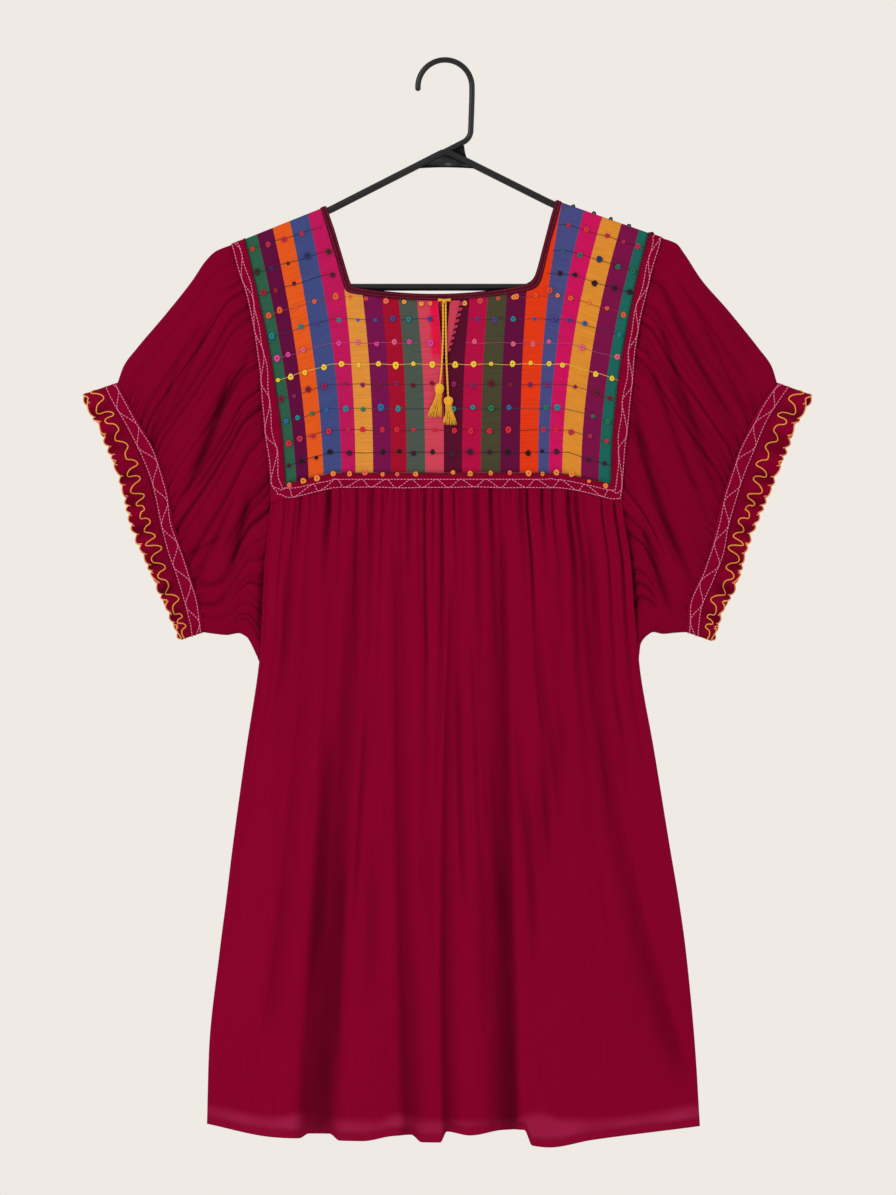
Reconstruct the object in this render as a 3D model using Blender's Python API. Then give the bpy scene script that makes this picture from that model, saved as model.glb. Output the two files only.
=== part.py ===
# A woven blouse with a striped yoke, gathered body and flared sleeves, hanging on a clothes hanger.
# Metres. +X is to the right of someone who looks at the front, the front faces -Y, +Z is up.
# The origin is the underside of the hook's top, where the hanger rests on what carries it.
# "left" and "right" are the viewer's, looking at the front.

from collections import namedtuple
import math

import bmesh
import bpy
import numpy as np

# Cloth and seams
CLOTH = 0.0012
BINDING = 0.0018
SEAM_GAP = 0.0003
ARM_SEAM_GAP = 0.0006
BODY_SEAM_GAP = 0.0004
CUFF_SEAM_GAP = 0.0005
SIDE_SEAM_HALF_GAP = 0.0009

# Hanger: a moulded ring of tube in the shape of shoulders, with a hook and a small web
HANGER_TUBE = 0.0032
HOOK_ROD = 0.00255
HOOK_RADIUS = 0.024
HOOK_TIP_TURN = math.radians(183)
HOOK_CENTRE_Z = HOOK_ROD - HOOK_RADIUS
HOOK_STEPS = 15
TUBE_SIDES = 8
RING_ARC_STEP = math.radians(24)
FOOT_ARC_STEP = math.radians(20)
WEB_HALF = 0.0014
ARM_CLEARANCE = 0.00060

Corner = namedtuple("Corner", "x z radius")
HANGER_RING = (
    Corner(0.0010, -0.0783, 0.008),
    Corner(-0.1060, -0.1328, 0.150),
    Corner(-0.2060, -0.1730, 0.013),
    Corner(-0.2060, -0.1993, 0.013),
    Corner(0.2050, -0.1993, 0.013),
    Corner(0.2050, -0.1646, 0.013),
    Corner(0.0990, -0.1274, 0.150),
)
HOOK_FOOT = (
    Corner(0.0240, -0.0300, 0.0),
    Corner(0.0227, -0.0672, 0.012),
    Corner(-0.0040, -0.0809, 0.0),
)
Place = namedtuple("Place", "x z")
WEB = (Place(-0.031, -0.0943), Place(0.001, -0.0800), Place(0.013, -0.0735), Place(0.0175, -0.0735),
       Place(0.0195, -0.0870), Place(0.031, -0.0935), Place(0.001, -0.0931))

# Cloth over the hanger's arms: the middle of the cloth runs round the tube, then hangs
OVER_ARM = HANGER_TUBE + ARM_CLEARANCE + CLOTH / 2
ROUND_FALL = OVER_ARM * 1.075
NECK_BEND_LEFT = 0.008
NECK_BEND_RIGHT = 0.005
SHOULDER_START = 0.00025
ROUND_END = 0.0075
ROUND_SHARE = 0.14
FILL_OUT = 0.110
BACK_FLATTER = 0.85
LENS_POWER = 2.4

# The torso: where its edges are at each height, and how far it stands off the middle plane
Section = namedtuple("Section", "z left right middle side")
TORSO = (
    Section(-0.150, -0.1925, 0.1950, 0.0042, 0.0042),
    Section(-0.183, -0.1840, 0.1845, 0.0065, 0.0060),
    Section(-0.217, -0.1735, 0.1762, 0.0095, 0.0090),
    Section(-0.253, -0.1670, 0.1695, 0.0135, 0.0120),
    Section(-0.316, -0.1610, 0.1635, 0.0185, 0.0160),
    Section(-0.386, -0.1545, 0.1570, 0.0225, 0.0170),
    Section(-0.446, -0.1600, 0.1650, 0.0260, 0.0130),
    Section(-0.500, -0.1625, 0.1690, 0.0280, 0.0065),
    Section(-0.522, -0.1640, 0.1715, 0.0285, 0.0030),
    Section(-0.535, -0.1652, 0.1726, 0.0290, SIDE_SEAM_HALF_GAP),
    Section(-0.610, -0.1765, 0.1855, 0.0310, SIDE_SEAM_HALF_GAP),
    Section(-0.700, -0.1889, 0.2002, 0.0330, SIDE_SEAM_HALF_GAP),
    Section(-0.745, -0.1943, 0.2078, 0.0335, SIDE_SEAM_HALF_GAP),
    Section(-0.790, -0.2001, 0.2140, 0.0340, SIDE_SEAM_HALF_GAP),
    Section(-0.877, -0.2094, 0.2222, 0.0350, SIDE_SEAM_HALF_GAP),
    Section(-0.943, -0.2112, 0.2262, 0.0360, SIDE_SEAM_HALF_GAP),
)
CORNER_LEFT_X = -0.1545
CORNER_RIGHT_X = 0.1570

# Neck opening and yoke, measured from the front slit's line
SLIT_X = -0.001
Neck = namedtuple("Neck", "top bottom power")
NECK_LEFT = Neck(0.1100, 0.0875, 24.0)
NECK_RIGHT = Neck(0.1050, 0.0850, 15.0)
NECK_DROP = 0.0915
NECK_SAG = 0.0085
BINDING_WIDTH = 0.0052
BACK_NECK_RAISED = 0.0012
Side = namedtuple("Side", "top bottom")
YOKE_LEFT = Side(-0.1785, -0.1416)
YOKE_RIGHT = Side(0.1818, 0.1474)
YOKE_BEND_LEFT = 1.5
YOKE_BEND_RIGHT = 1.8
YOKE_MIDDLE_X = 0.003
YOKE_BOTTOM_Z = -0.365
YOKE_CORNER_DIP = 0.010
YOKE_LEVEL_HALF = 0.097
YOKE_DIP_WIDTH = 0.047
YOKE_DIP_POWER = 1.2
YOKE_ROWS = (0.0, 0.19, 0.38, 0.66, 1.0)
BAND_DROP = 0.013
ROUND_COLUMNS = 4
SIDE_COLUMNS = 8
HALF_COLUMNS = 8
SLIT_LENGTH = 0.056
SLIT_HALF = 0.0042
SLIT_END_HALF = 0.0006
SLIT_EASE = 0.018
SLIT_YOKE_ROWS = 2

# Body: gathers under the band, and the large folds below them
FRONT_GATHERS = 48
BACK_GATHERS = 38
GATHER_DEPTH = 0.0016
GATHER_FADE = 0.085
GATHER_RISE = 0.008
CALM_AT_SIDES = 0.03
Drift = namedtuple("Drift", "size turns start")
GATHER_DRIFTS = (Drift(0.006, 3, 0.0), Drift(0.0022, 7, 1.0))
Fold = namedtuple("Fold", "x_top x_mid x_hem z_start z_end half_top half_hem depth")
FRONT_FOLDS = (
    Fold(-0.1295, -0.1570, -0.1800, -0.40, -0.60, 0.006, 0.008, 0.004),
    Fold(-0.1175, -0.1340, -0.1700, -0.41, -0.88, 0.006, 0.009, 0.006),
    Fold(-0.0972, -0.1085, -0.1245, -0.41, -0.99, 0.005, 0.008, 0.006),
    Fold(-0.0727, -0.0925, -0.1080, -0.39, -0.99, 0.007, 0.014, 0.013),
    Fold(-0.0425, -0.0385, -0.0310, -0.40, -0.99, 0.005, 0.010, 0.009),
    Fold(-0.0186, -0.0180, -0.0240, -0.43, -0.78, 0.004, 0.006, 0.004),
    Fold(0.0105, 0.0010, 0.0020, -0.44, -0.99, 0.004, 0.007, 0.008),
    Fold(0.0503, 0.0540, 0.0600, -0.39, -0.99, 0.007, 0.013, 0.013),
    Fold(0.1030, 0.1040, 0.1100, -0.39, -0.68, 0.006, 0.009, 0.005),
    Fold(0.1285, 0.1520, 0.2300, -0.40, -0.93, 0.006, 0.011, 0.008),
)
BACK_FOLDS = (
    Fold(-0.1220, -0.1430, -0.1760, -0.41, -0.93, 0.006, 0.010, 0.007),
    Fold(-0.0850, -0.0980, -0.1230, -0.40, -0.99, 0.006, 0.012, 0.011),
    Fold(-0.0560, -0.0520, -0.0610, -0.42, -0.70, 0.005, 0.008, 0.005),
    Fold(-0.0240, -0.0330, -0.0400, -0.40, -0.99, 0.006, 0.012, 0.010),
    Fold(0.0160, 0.0210, 0.0130, -0.42, -0.99, 0.005, 0.009, 0.007),
    Fold(0.0580, 0.0690, 0.0840, -0.40, -0.99, 0.007, 0.013, 0.012),
    Fold(0.0920, 0.1060, 0.1210, -0.42, -0.76, 0.005, 0.008, 0.005),
    Fold(0.1260, 0.1450, 0.1850, -0.40, -0.95, 0.006, 0.011, 0.008),
)
FOLD_TOP_Z, FOLD_MID_Z, FOLD_HEM_Z = -0.40, -0.67, -0.95
FOLD_FADE = 0.060
BODY_ROWS = (0.0, 0.022, 0.060, 0.115, 0.170, 0.215, 0.2405, 0.264, 0.40, 0.55, 0.70, 0.85, 1.0)
BODY_FINE_ROWS = 4

# Hem: lowest edge of the body; each fold lifts it, each ridge lets it down
HEM_SIDE_Z = -0.9435
HEM_SAG = 0.0125
BACK_HEM_RAISED = 0.019
Lift = namedtuple("Lift", "x half rise")
FRONT_HEM = (
    Lift(-0.110, 0.012, 0.0080),
    Lift(-0.036, 0.013, 0.0070),
    Lift(0.012, 0.016, 0.0065),
    Lift(0.057, 0.014, 0.0110),
    Lift(0.092, 0.012, -0.0060),
    Lift(-0.083, 0.010, -0.0020),
)
BACK_HEM = (
    Lift(-0.120, 0.014, 0.0060),
    Lift(-0.040, 0.014, 0.0060),
    Lift(0.084, 0.015, 0.0070),
)

# Sleeves: the fold along the top and the fold under the arm, from the armhole (v = 0) to the cuff (v = 1)
Along = namedtuple("Along", "v top_x top_z under_x under_z")
SLEEVE_LEFT = (
    Along(0.00, -0.1912, -0.1622, -0.1658, -0.5330),
    Along(0.12, -0.2055, -0.1682, -0.1725, -0.5180),
    Along(0.20, -0.2140, -0.1765, -0.1775, -0.5100),
    Along(0.34, -0.2260, -0.1945, -0.1850, -0.5065),
    Along(0.55, -0.2490, -0.2240, -0.1955, -0.5080),
    Along(0.78, -0.2740, -0.2540, -0.2060, -0.5070),
    Along(0.92, -0.2850, -0.2690, -0.2130, -0.5060),
    Along(1.00, -0.2904, -0.2843, -0.2167, -0.5054),
)
SLEEVE_RIGHT = (
    Along(0.00, 0.1932, -0.1560, 0.1732, -0.5330),
    Along(0.12, 0.2060, -0.1610, 0.1750, -0.5170),
    Along(0.20, 0.2130, -0.1700, 0.1800, -0.5095),
    Along(0.34, 0.2280, -0.1930, 0.1870, -0.5055),
    Along(0.55, 0.2510, -0.2195, 0.1960, -0.5070),
    Along(0.78, 0.2775, -0.2525, 0.2065, -0.5060),
    Along(0.92, 0.2900, -0.2700, 0.2135, -0.5055),
    Along(1.00, 0.2945, -0.2843, 0.2176, -0.5054),
)
SLEEVE_ROWS = (0.0, 0.07, 0.17, 0.30, 0.45, 0.62, 0.80, 1.0)
SLEEVE_FLOW = 0.8
SLEEVE_PUFF = 0.008
SLEEVE_GATHERS = 10
SLEEVE_GATHER_DEPTH = 0.0015
SLEEVE_GATHER_FADE_ARM = 0.16
SLEEVE_GATHER_FADE_CUFF = 0.12
NEAR_TOP_FOLD = (0.0, 0.0045, 0.011, 0.022)
FIRST_GATHER, LAST_GATHER, NEAR_UNDER_FOLD = 0.048, 0.952, 0.985
SLEEVE_W = np.concatenate([NEAR_TOP_FOLD, np.linspace(FIRST_GATHER, LAST_GATHER, 2 * SLEEVE_GATHERS),
                           [NEAR_UNDER_FOLD]])
ARMHOLE_CLOSES = 0.015
CUFF_HALF_DEPTH = 0.013
CUFF_CURVE_LEFT = 0.0145
CUFF_CURVE_RIGHT = 0.0100
CUFF_CURVE_SHIFT = 0.75
CUFF_WIDTH = 0.0125
Swag = namedtuple("Swag", "w v_start v_end half depth")
LEFT_SWAGS = (
    Swag(0.15, 0.10, 0.95, 0.035, 0.007),
    Swag(0.31, 0.05, 1.00, 0.040, 0.010),
    Swag(0.47, 0.00, 0.70, 0.040, 0.007),
    Swag(0.63, 0.15, 0.90, 0.045, 0.007),
    Swag(0.80, 0.00, 0.60, 0.040, 0.004),
)
RIGHT_SWAGS = (
    Swag(0.16, 0.05, 0.90, 0.035, 0.006),
    Swag(0.28, 0.00, 1.00, 0.035, 0.007),
    Swag(0.42, 0.05, 0.80, 0.040, 0.006),
    Swag(0.58, 0.00, 0.95, 0.040, 0.007),
    Swag(0.76, 0.00, 0.70, 0.040, 0.004),
)

# Ruffles at the cuffs
# At shares of the cuff from its top fold down: how far its seam is drawn in further, and the ruffle's length
CuffShare = namedtuple("CuffShare", "share drawn_left drawn_right ruffle_left ruffle_right")
CUFF_SHARES = (
    CuffShare(0.00, 0.0000, 0.0000, 0.0200, 0.0210),
    CuffShare(0.05, 0.0000, 0.0030, 0.0202, 0.0218),
    CuffShare(0.12, 0.0000, 0.0050, 0.0208, 0.0235),
    CuffShare(0.25, 0.0000, 0.0040, 0.0240, 0.0255),
    CuffShare(0.35, -0.0008, 0.0033, 0.0255, 0.0258),
    CuffShare(0.45, -0.0020, 0.0028, 0.0260, 0.0235),
    CuffShare(0.55, -0.0033, 0.0025, 0.0240, 0.0205),
    CuffShare(0.65, -0.0010, 0.0018, 0.0208, 0.0178),
    CuffShare(0.77, 0.0036, 0.0050, 0.0185, 0.0190),
    CuffShare(0.88, 0.0055, 0.0090, 0.0150, 0.0172),
    CuffShare(0.95, 0.0045, 0.0060, 0.0120, 0.0148),
    CuffShare(1.00, 0.0024, 0.0030, 0.0095, 0.0120),
)
RUFFLE_WAVES = 17
RUFFLE_WAVE_DEPTH = 0.0052
RUFFLE_WAVE_DRIFT = 0.6
RUFFLE_FLARE = 0.008
RUFFLE_FOLD_SWING = 0.0035
RUFFLE_ROWS = (0.0, 0.35, 0.70, 1.0)

# Slit edging: a narrow flap with a toothed free edge, turned out over the right side of the slit
EDGING_TOP_Z = -0.2129
EDGING_LENGTH = 0.0471
EDGING_OFF_SLIT = 0.0012
EDGING_WIDTH = 0.0105
EDGING_END_WIDTH = 0.0015
EDGING_TAPER = 0.85
EDGING_THICKNESS = 0.0010
EDGING_TEETH = 9
TOOTH = 0.0026
TOOTH_ROOT = 0.0004
TOOTH_SHARE = 0.80
INNER_SHARE = 0.75

# Tie: a short bar across the slit, two cords, and a tassel on each
TIE_CORD = 0.0009
CORD_ON_YOKE = CLOTH / 2 + SEAM_GAP + TIE_CORD
CORD_POINTS = 17
TIE_BAR_HALF = 0.0062
TIE_BAR_RADIUS = 0.0016
TIE_BAR_X = -0.0005
TIE_BAR_Z = -0.2114
CORD_SETTLE_Z = -0.270
CORD_SETTLE_LENGTH = 0.012
LEFT_CORD = (Place(-0.0018, -0.2134), Place(-0.0016, -0.2300), Place(-0.0019, -0.2480),
             Place(-0.0026, -0.2660), Place(-0.0034, -0.2770), Place(-0.0044, -0.2850))
RIGHT_CORD = (Place(0.0006, -0.2134), Place(0.0007, -0.2300), Place(0.0009, -0.2480),
              Place(0.0014, -0.2660), Place(0.0020, -0.2800), Place(0.0028, -0.2945))
Tassel = namedtuple("Tassel", "x z lean")
LEFT_TASSEL = Tassel(-0.0048, -0.2856, -0.20)
RIGHT_TASSEL = Tassel(0.0029, -0.2951, 0.10)
TASSEL_HEAD = 0.0038
TASSEL_HEAD_LENGTH = 0.0085
TASSEL_LENGTH = 0.0170
TASSEL_SPREAD = 1.55
TASSEL_DEPTH_SPREAD = 1.1
TASSEL_SIDES = 10
TASSEL_DEPTH_SHARE = 0.62
TASSEL_BEND = 0.012
TASSEL_TILT = -0.05
STRAND_INSET = 0.00014
STRAND_TAPER = 0.9
STRAND_UNEVEN = 0.06
Turned = namedtuple("Turned", "radius down")
TASSEL_PROFILE = (Turned(0.30, 0.0), Turned(0.80, 0.10), Turned(1.0, 0.35), Turned(0.95, 0.70),
                  Turned(0.72, 1.0))

Finish = namedtuple("Finish", "colour roughness")
BLACK_PLASTIC = Finish((0.012, 0.012, 0.013), 0.38)
BURGUNDY = Finish((0.190, 0.004, 0.024), 0.85)
STRIPED = Finish((0.360, 0.030, 0.060), 0.85)
MAROON = Finish((0.080, 0.010, 0.020), 0.80)
CORAL = Finish((0.620, 0.060, 0.090), 0.80)
YELLOW = Finish((0.700, 0.300, 0.020), 0.75)
SHARP_ANGLE = math.radians(50)
TOO_SHORT = 1e-7


def smooth(xs, ys, at):
    """Cubic through the rows that never overshoots them; straight on past the ends."""
    xs, ys, at = np.asarray(xs, float), np.asarray(ys, float), np.asarray(at, float)
    if xs[0] > xs[-1]:
        xs, ys = xs[::-1], ys[::-1]
    step = np.diff(xs)
    rise = np.diff(ys) / step
    slope = np.empty_like(xs)
    slope[0], slope[-1] = rise[0], rise[-1]
    same = rise[:-1] * rise[1:] > 0
    total = np.where(same, rise[:-1] + rise[1:], 1.0)
    slope[1:-1] = np.where(same, 2 * rise[:-1] * rise[1:] / total, 0.0)
    inside = np.clip(at, xs[0], xs[-1])
    i = np.clip(np.searchsorted(xs, inside, side="right") - 1, 0, len(xs) - 2)
    h = step[i]
    t = (inside - xs[i]) / h
    value = ((1 + 2 * t) * (1 - t) ** 2 * ys[i] + t * (1 - t) ** 2 * h * slope[i]
             + t * t * (3 - 2 * t) * ys[i + 1] + t * t * (t - 1) * h * slope[i + 1])
    past = np.where(at > xs[-1], slope[-1], slope[0])
    return value + (at - inside) * past


def column(table, key, name, at):
    """One named column of a table, as a smooth function of its key column."""
    return smooth([getattr(row, key) for row in table], [getattr(row, name) for row in table], at)


def settle(t):
    """Rises from 0 to 1, quickly at first."""
    t = np.clip(t, 0, 1)
    return t * (2 - t)


def blend(t):
    """Rises from 0 to 1, slowly at both ends."""
    t = np.clip(t, 0, 1)
    return t * t * (3 - 2 * t)


# The shoulder line and the torso's depth


def shoulder(x):
    """Height of the cloth's middle where it lies over the hanger's arms, straight across the neck."""
    apex, knee_l, end_l, _, _, end_r, knee_r = HANGER_RING
    rows = []
    for a, b in ((end_l, knee_l), (knee_r, end_r)):
        lift = OVER_ARM * math.hypot(1, (b.z - a.z) / (b.x - a.x))
        rows += [(a.x, a.z + lift), (b.x, b.z + lift)]
    for row, knee, inward in ((2, knee_l, NECK_BEND_LEFT), (3, knee_r, -NECK_BEND_RIGHT)):
        slope = (apex.z - knee.z) / (apex.x - knee.x)
        rows.insert(row, (knee.x + inward, knee.z + inward * slope + OVER_ARM * math.hypot(1, slope)))
    return np.interp(x, [x for x, _ in rows], [z for _, z in rows])


def fall_of(s):
    """How far below the shoulder line the cloth is after a length s of it."""
    turn = np.minimum(s / OVER_ARM, math.pi / 2)
    return ROUND_FALL * (1 - np.cos(turn)) + np.maximum(s - OVER_ARM * math.pi / 2, 0)


def length_to(x, z):
    """Length of cloth from the shoulder line down to the height z."""
    fall = np.maximum(shoulder(x) - z, 0)
    round_part = OVER_ARM * np.arccos(np.clip(1 - fall / ROUND_FALL, 0, 1))
    return round_part + np.maximum(fall - ROUND_FALL, 0)


def torso_edge(s, on_left):
    """The torso's side edge after a length s of cloth: its x, and its height."""
    x = np.where(on_left, TORSO[0].left, TORSO[0].right) + 0 * s
    for _ in range(12):
        z = shoulder(x) - fall_of(s)
        x = np.where(on_left, column(TORSO, "z", "left", z), column(TORSO, "z", "right", z))
    return x, shoulder(x) - fall_of(s)


def torso_depth(x, z, s, side):
    """Distance of the cloth from the middle plane: round the arm, then filling out to a flat lens."""
    left, right = column(TORSO, "z", "left", z), column(TORSO, "z", "right", z)
    middle, edge = column(TORSO, "z", "middle", z), column(TORSO, "z", "side", z)
    across = np.clip((2 * x - left - right) / (right - left), -1, 1)
    flatter = np.where(side > 0, BACK_FLATTER, 1.0)
    edge = np.maximum(edge * flatter, SIDE_SEAM_HALF_GAP)
    full = edge + (middle * flatter - edge) * (1 - np.abs(across) ** LENS_POWER)
    turn = np.minimum(s / OVER_ARM, math.pi / 2)
    filled = settle((fall_of(s) - ROUND_FALL) / FILL_OUT)
    return OVER_ARM * np.sin(turn) + (full - OVER_ARM) * filled


def hang(x, s, side, relief=0.0):
    """A point of the torso: x across, s the length of cloth from the shoulder line, side -1 or +1."""
    x, s = np.broadcast_arrays(np.asarray(x, float), np.asarray(s, float))
    z = shoulder(x) - fall_of(s)
    depth = torso_depth(x, z, s, side) + relief
    lifted = relief * np.cos(np.minimum(s / OVER_ARM, math.pi / 2))
    return np.stack([x, side * depth, z + lifted], axis=-1)


# Walls, tubes and plates


def painted(name, data, look):
    """An object of some mesh or curve, with its own material."""
    obj = bpy.data.objects.new(name, data)
    bpy.context.scene.collection.objects.link(obj)
    material = bpy.data.materials.new(name)
    material.use_nodes = True
    shader = material.node_tree.nodes["Principled BSDF"]
    shader.inputs["Base Color"].default_value = (*look.colour, 1.0)
    shader.inputs["Roughness"].default_value = look.roughness
    shader.inputs["Metallic"].default_value = 0.0
    data.materials.append(material)
    return obj


def finish(name, mesh, look):
    mesh.shade_smooth()
    mesh.set_sharp_from_angle(angle=SHARP_ANGLE)
    return painted(name, mesh, look)


def mesh_from(name, points, faces):
    mesh = bpy.data.meshes.new(name)
    mesh.from_pydata([tuple(map(float, p)) for p in points], [], faces)
    bm = bmesh.new()
    bm.from_mesh(mesh)
    bmesh.ops.recalc_face_normals(bm, faces=bm.faces)
    bm.to_mesh(mesh)
    bm.free()
    return mesh


def normals_of(grid, ring):
    """Unit normals of a grid of points, from its differences along rows and columns."""
    if ring:
        across = np.roll(grid, -1, axis=1) - np.roll(grid, 1, axis=1)
    else:
        across = np.gradient(grid, axis=1)
    n = np.cross(across, np.gradient(grid, axis=0))
    return n / np.linalg.norm(n, axis=2, keepdims=True)


def across_edge(row, ring):
    """Directions across an edge, level with the middle plane, so that two edges in a seam end alike."""
    along = (np.roll(row, -1, axis=0) - np.roll(row, 1, axis=0)) if ring else np.gradient(row, axis=0)
    along = along * (1.0, 0.0, 1.0)
    size = np.linalg.norm(along, axis=1)
    for i in np.flatnonzero(size < TOO_SHORT):
        along[i] = along[(i + 1) % len(row)]
    along /= np.linalg.norm(along, axis=1, keepdims=True)
    return np.stack([-along[:, 2], 0 * along[:, 0], along[:, 0]], axis=1)


def sheet_faces(rows, columns, ring, fine_rows, skip):
    """Faces of a grid of points. Rows after fine_rows keep every second point."""
    faces = []
    for i in range(rows - 1):
        upper = 1 if i < fine_rows else 2
        lower = 1 if i + 1 < fine_rows else 2
        last = columns if ring else columns - 1
        for j in range(0, last, lower):
            a, b = i * columns + j, (i + 1) * columns + j
            far = (j + lower) % columns
            c, d = i * columns + far, (i + 1) * columns + far
            if (i, j) in skip:
                continue
            if upper == lower:
                faces.append((a, b, d, c))
            else:
                half = a + 1
                faces += [(a, b, half), (half, b, d), (half, d, c)]
    return faces


def wall(name, grid, thickness, look, ring=False, fine_rows=None, skip=()):
    """A closed cloth wall round a grid of middle points: two sheets and the rims between them."""
    rows, columns = grid.shape[:2]
    offset = normals_of(grid, ring)
    for i in (0, -1):
        axis = across_edge(grid[i], ring)
        offset[i] -= np.sum(offset[i] * axis, axis=1, keepdims=True) * axis
    offset *= thickness / 2 / np.linalg.norm(offset, axis=2, keepdims=True)
    points = np.concatenate([(grid + offset).reshape(-1, 3), (grid - offset).reshape(-1, 3)])
    count = rows * columns
    outer = sheet_faces(rows, columns, ring, rows if fine_rows is None else fine_rows, set(skip))
    used = {(f[k], f[(k + 1) % len(f)]) for f in outer for k in range(len(f))}
    faces = outer + [tuple(i + count for i in reversed(f)) for f in outer]
    faces += [(b, a, a + count, b + count) for a, b in used if (b, a) not in used]
    kept = sorted({i for f in faces for i in f})
    place = {old: new for new, old in enumerate(kept)}
    mesh = mesh_from(name, points[kept], [tuple(place[i] for i in f) for f in faces])
    return finish(name, mesh, look)


def rounded(corners, closed, arc_step):
    """Points along a line with rounded corners, in the XZ plane."""
    points = []
    count = len(corners)
    for i, corner in enumerate(corners):
        here = np.array((corner.x, corner.z))
        if not closed and i in (0, count - 1):
            points.append(here)
            continue
        before, after = corners[i - 1], corners[(i + 1) % count]
        back = np.array((before.x, before.z)) - here
        ahead = np.array((after.x, after.z)) - here
        back, ahead = back / np.linalg.norm(back), ahead / np.linalg.norm(ahead)
        half = math.acos(np.clip(back @ ahead, -1, 1)) / 2
        centre = here + (back + ahead) / np.linalg.norm(back + ahead) * corner.radius / math.sin(half)
        start = here + back * corner.radius / math.tan(half) - centre
        end = here + ahead * corner.radius / math.tan(half) - centre
        turn = math.pi - 2 * half
        steps = max(1, math.ceil(turn / arc_step))
        for t in np.linspace(0, 1, steps + 1):
            swung = math.sin((1 - t) * turn) * start + math.sin(t * turn) * end
            points.append(centre + swung / math.sin(turn))
    return np.array(points)


def tube(name, path, radius, closed, look, start_turn=0.0):
    """A round tube along points in the XZ plane (with their own y where three numbers are given)."""
    if path.shape[1] == 2:
        path = np.stack([path[:, 0], np.zeros(len(path)), path[:, 1]], axis=1)
    if closed:
        along = np.roll(path, -1, axis=0) - np.roll(path, 1, axis=0)
    else:
        along = np.gradient(path, axis=0)
    along /= np.linalg.norm(along, axis=1, keepdims=True)
    across = np.cross(along, (0.0, 1.0, 0.0))
    across /= np.linalg.norm(across, axis=1, keepdims=True)
    out = np.cross(across, along)
    sides = TUBE_SIDES
    angle = start_turn + np.arange(sides) * 2 * math.pi / sides
    ring = np.cos(angle)[None, :, None] * across[:, None] + np.sin(angle)[None, :, None] * out[:, None]
    grid = path[:, None] + radius * ring
    count = len(path)
    faces = []
    for i in range(count if closed else count - 1):
        k = (i + 1) % count
        for j in range(sides):
            m = (j + 1) % sides
            faces.append((i * sides + j, i * sides + m, k * sides + m, k * sides + j))
    if not closed:
        faces += [tuple(range(sides)), tuple((count - 1) * sides + j for j in range(sides))]
    return finish(name, mesh_from(name, grid.reshape(-1, 3), faces), look)


def plate(name, outline, half, look):
    """A flat plate of an outline in the XZ plane."""
    count = len(outline)
    points = [(x, y, z) for y in (-half, half) for x, z in outline]
    faces = [tuple(range(count)), tuple(range(count, 2 * count))]
    faces += [(i, (i + 1) % count, count + (i + 1) % count, count + i) for i in range(count)]
    return finish(name, mesh_from(name, points, faces), look)


def unite(body, others):
    """Joins other solids to a body with Booleans; they stay as guides that aren't part of the model."""
    for other in others:
        other.hide_render = True
        other.display_type = "WIRE"
        join = body.modifiers.new("Join " + other.name, "BOOLEAN")
        join.operation = "UNION"
        join.object = other
    return body


# Hanger


def make_hanger():
    flat_side = math.pi / TUBE_SIDES
    outline = rounded(HANGER_RING, True, RING_ARC_STEP)
    ring = tube("hanger", outline, HANGER_TUBE, True, BLACK_PLASTIC, flat_side)
    turns = np.linspace(HOOK_TIP_TURN, 0, HOOK_STEPS)
    arc = np.stack([HOOK_RADIUS * np.cos(turns), HOOK_CENTRE_Z + HOOK_RADIUS * np.sin(turns)], axis=1)
    path = np.concatenate([arc, rounded(HOOK_FOOT, False, FOOT_ARC_STEP)])
    hook = tube("hanger_hook_guide", path, HOOK_ROD, False, BLACK_PLASTIC)
    web = plate("hanger_web_guide", WEB, WEB_HALF, BLACK_PLASTIC)
    unite(ring, (hook, web))


# Yoke, its band and the neck binding are ribbons along q: 0 to 1 down the left side, 1 to 2 along the
# bottom with the slit at 1.5, and 2 to 3 up the right side


def down_side(f, total):
    """Length of cloth at the share f of a side, with its first rows close together round the arm."""
    near = SHOULDER_START + (ROUND_END - SHOULDER_START) * f / ROUND_SHARE
    far = ROUND_END + (total - ROUND_END) * (f - ROUND_SHARE) / (1 - ROUND_SHARE)
    return np.where(f < ROUND_SHARE, near, far)


def parts_of(q):
    """Share of the side, share of the half bottom from the slit, and which side, for each q."""
    q = np.asarray(q, float)
    on_left = q < 1.5
    along = np.where(on_left, q, 3 - q)
    return np.clip(along, 0, 1), np.clip(3 - 2 * along, 0, 1), on_left


def neck_line(q, inset, raised):
    """The neck opening's edge: a U with tight corners between the shoulders, its bottom sagging a little."""
    f, g, on_left = parts_of(q)
    power = np.where(on_left, NECK_LEFT.power, NECK_RIGHT.power)
    top = np.where(on_left, NECK_LEFT.top, NECK_RIGHT.top) - inset
    bottom = np.where(on_left, NECK_LEFT.bottom, NECK_RIGHT.bottom) - inset
    drop = NECK_DROP - inset - raised
    corner = 0.5 ** (1 / power)
    down = np.where(f < 1, down_side(f, corner * drop) / drop, 0)
    out = np.where(f < 1, (1 - down ** power) ** (1 / power), corner * g)
    down = np.where(f < 1, down, (1 - out ** power) ** (1 / power))
    half = top + (bottom - top) * down
    return SLIT_X + np.where(on_left, -1, 1) * out * half, down * (drop - NECK_SAG * out ** 2)


def yoke_bottom(x):
    """Height of the yoke's lower edge: level in the middle, dipping at the corners."""
    past = (np.abs(x - YOKE_MIDDLE_X) - YOKE_LEVEL_HALF) / YOKE_DIP_WIDTH
    return YOKE_BOTTOM_Z - YOKE_CORNER_DIP * np.clip(past, 0, 2) ** YOKE_DIP_POWER


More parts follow.
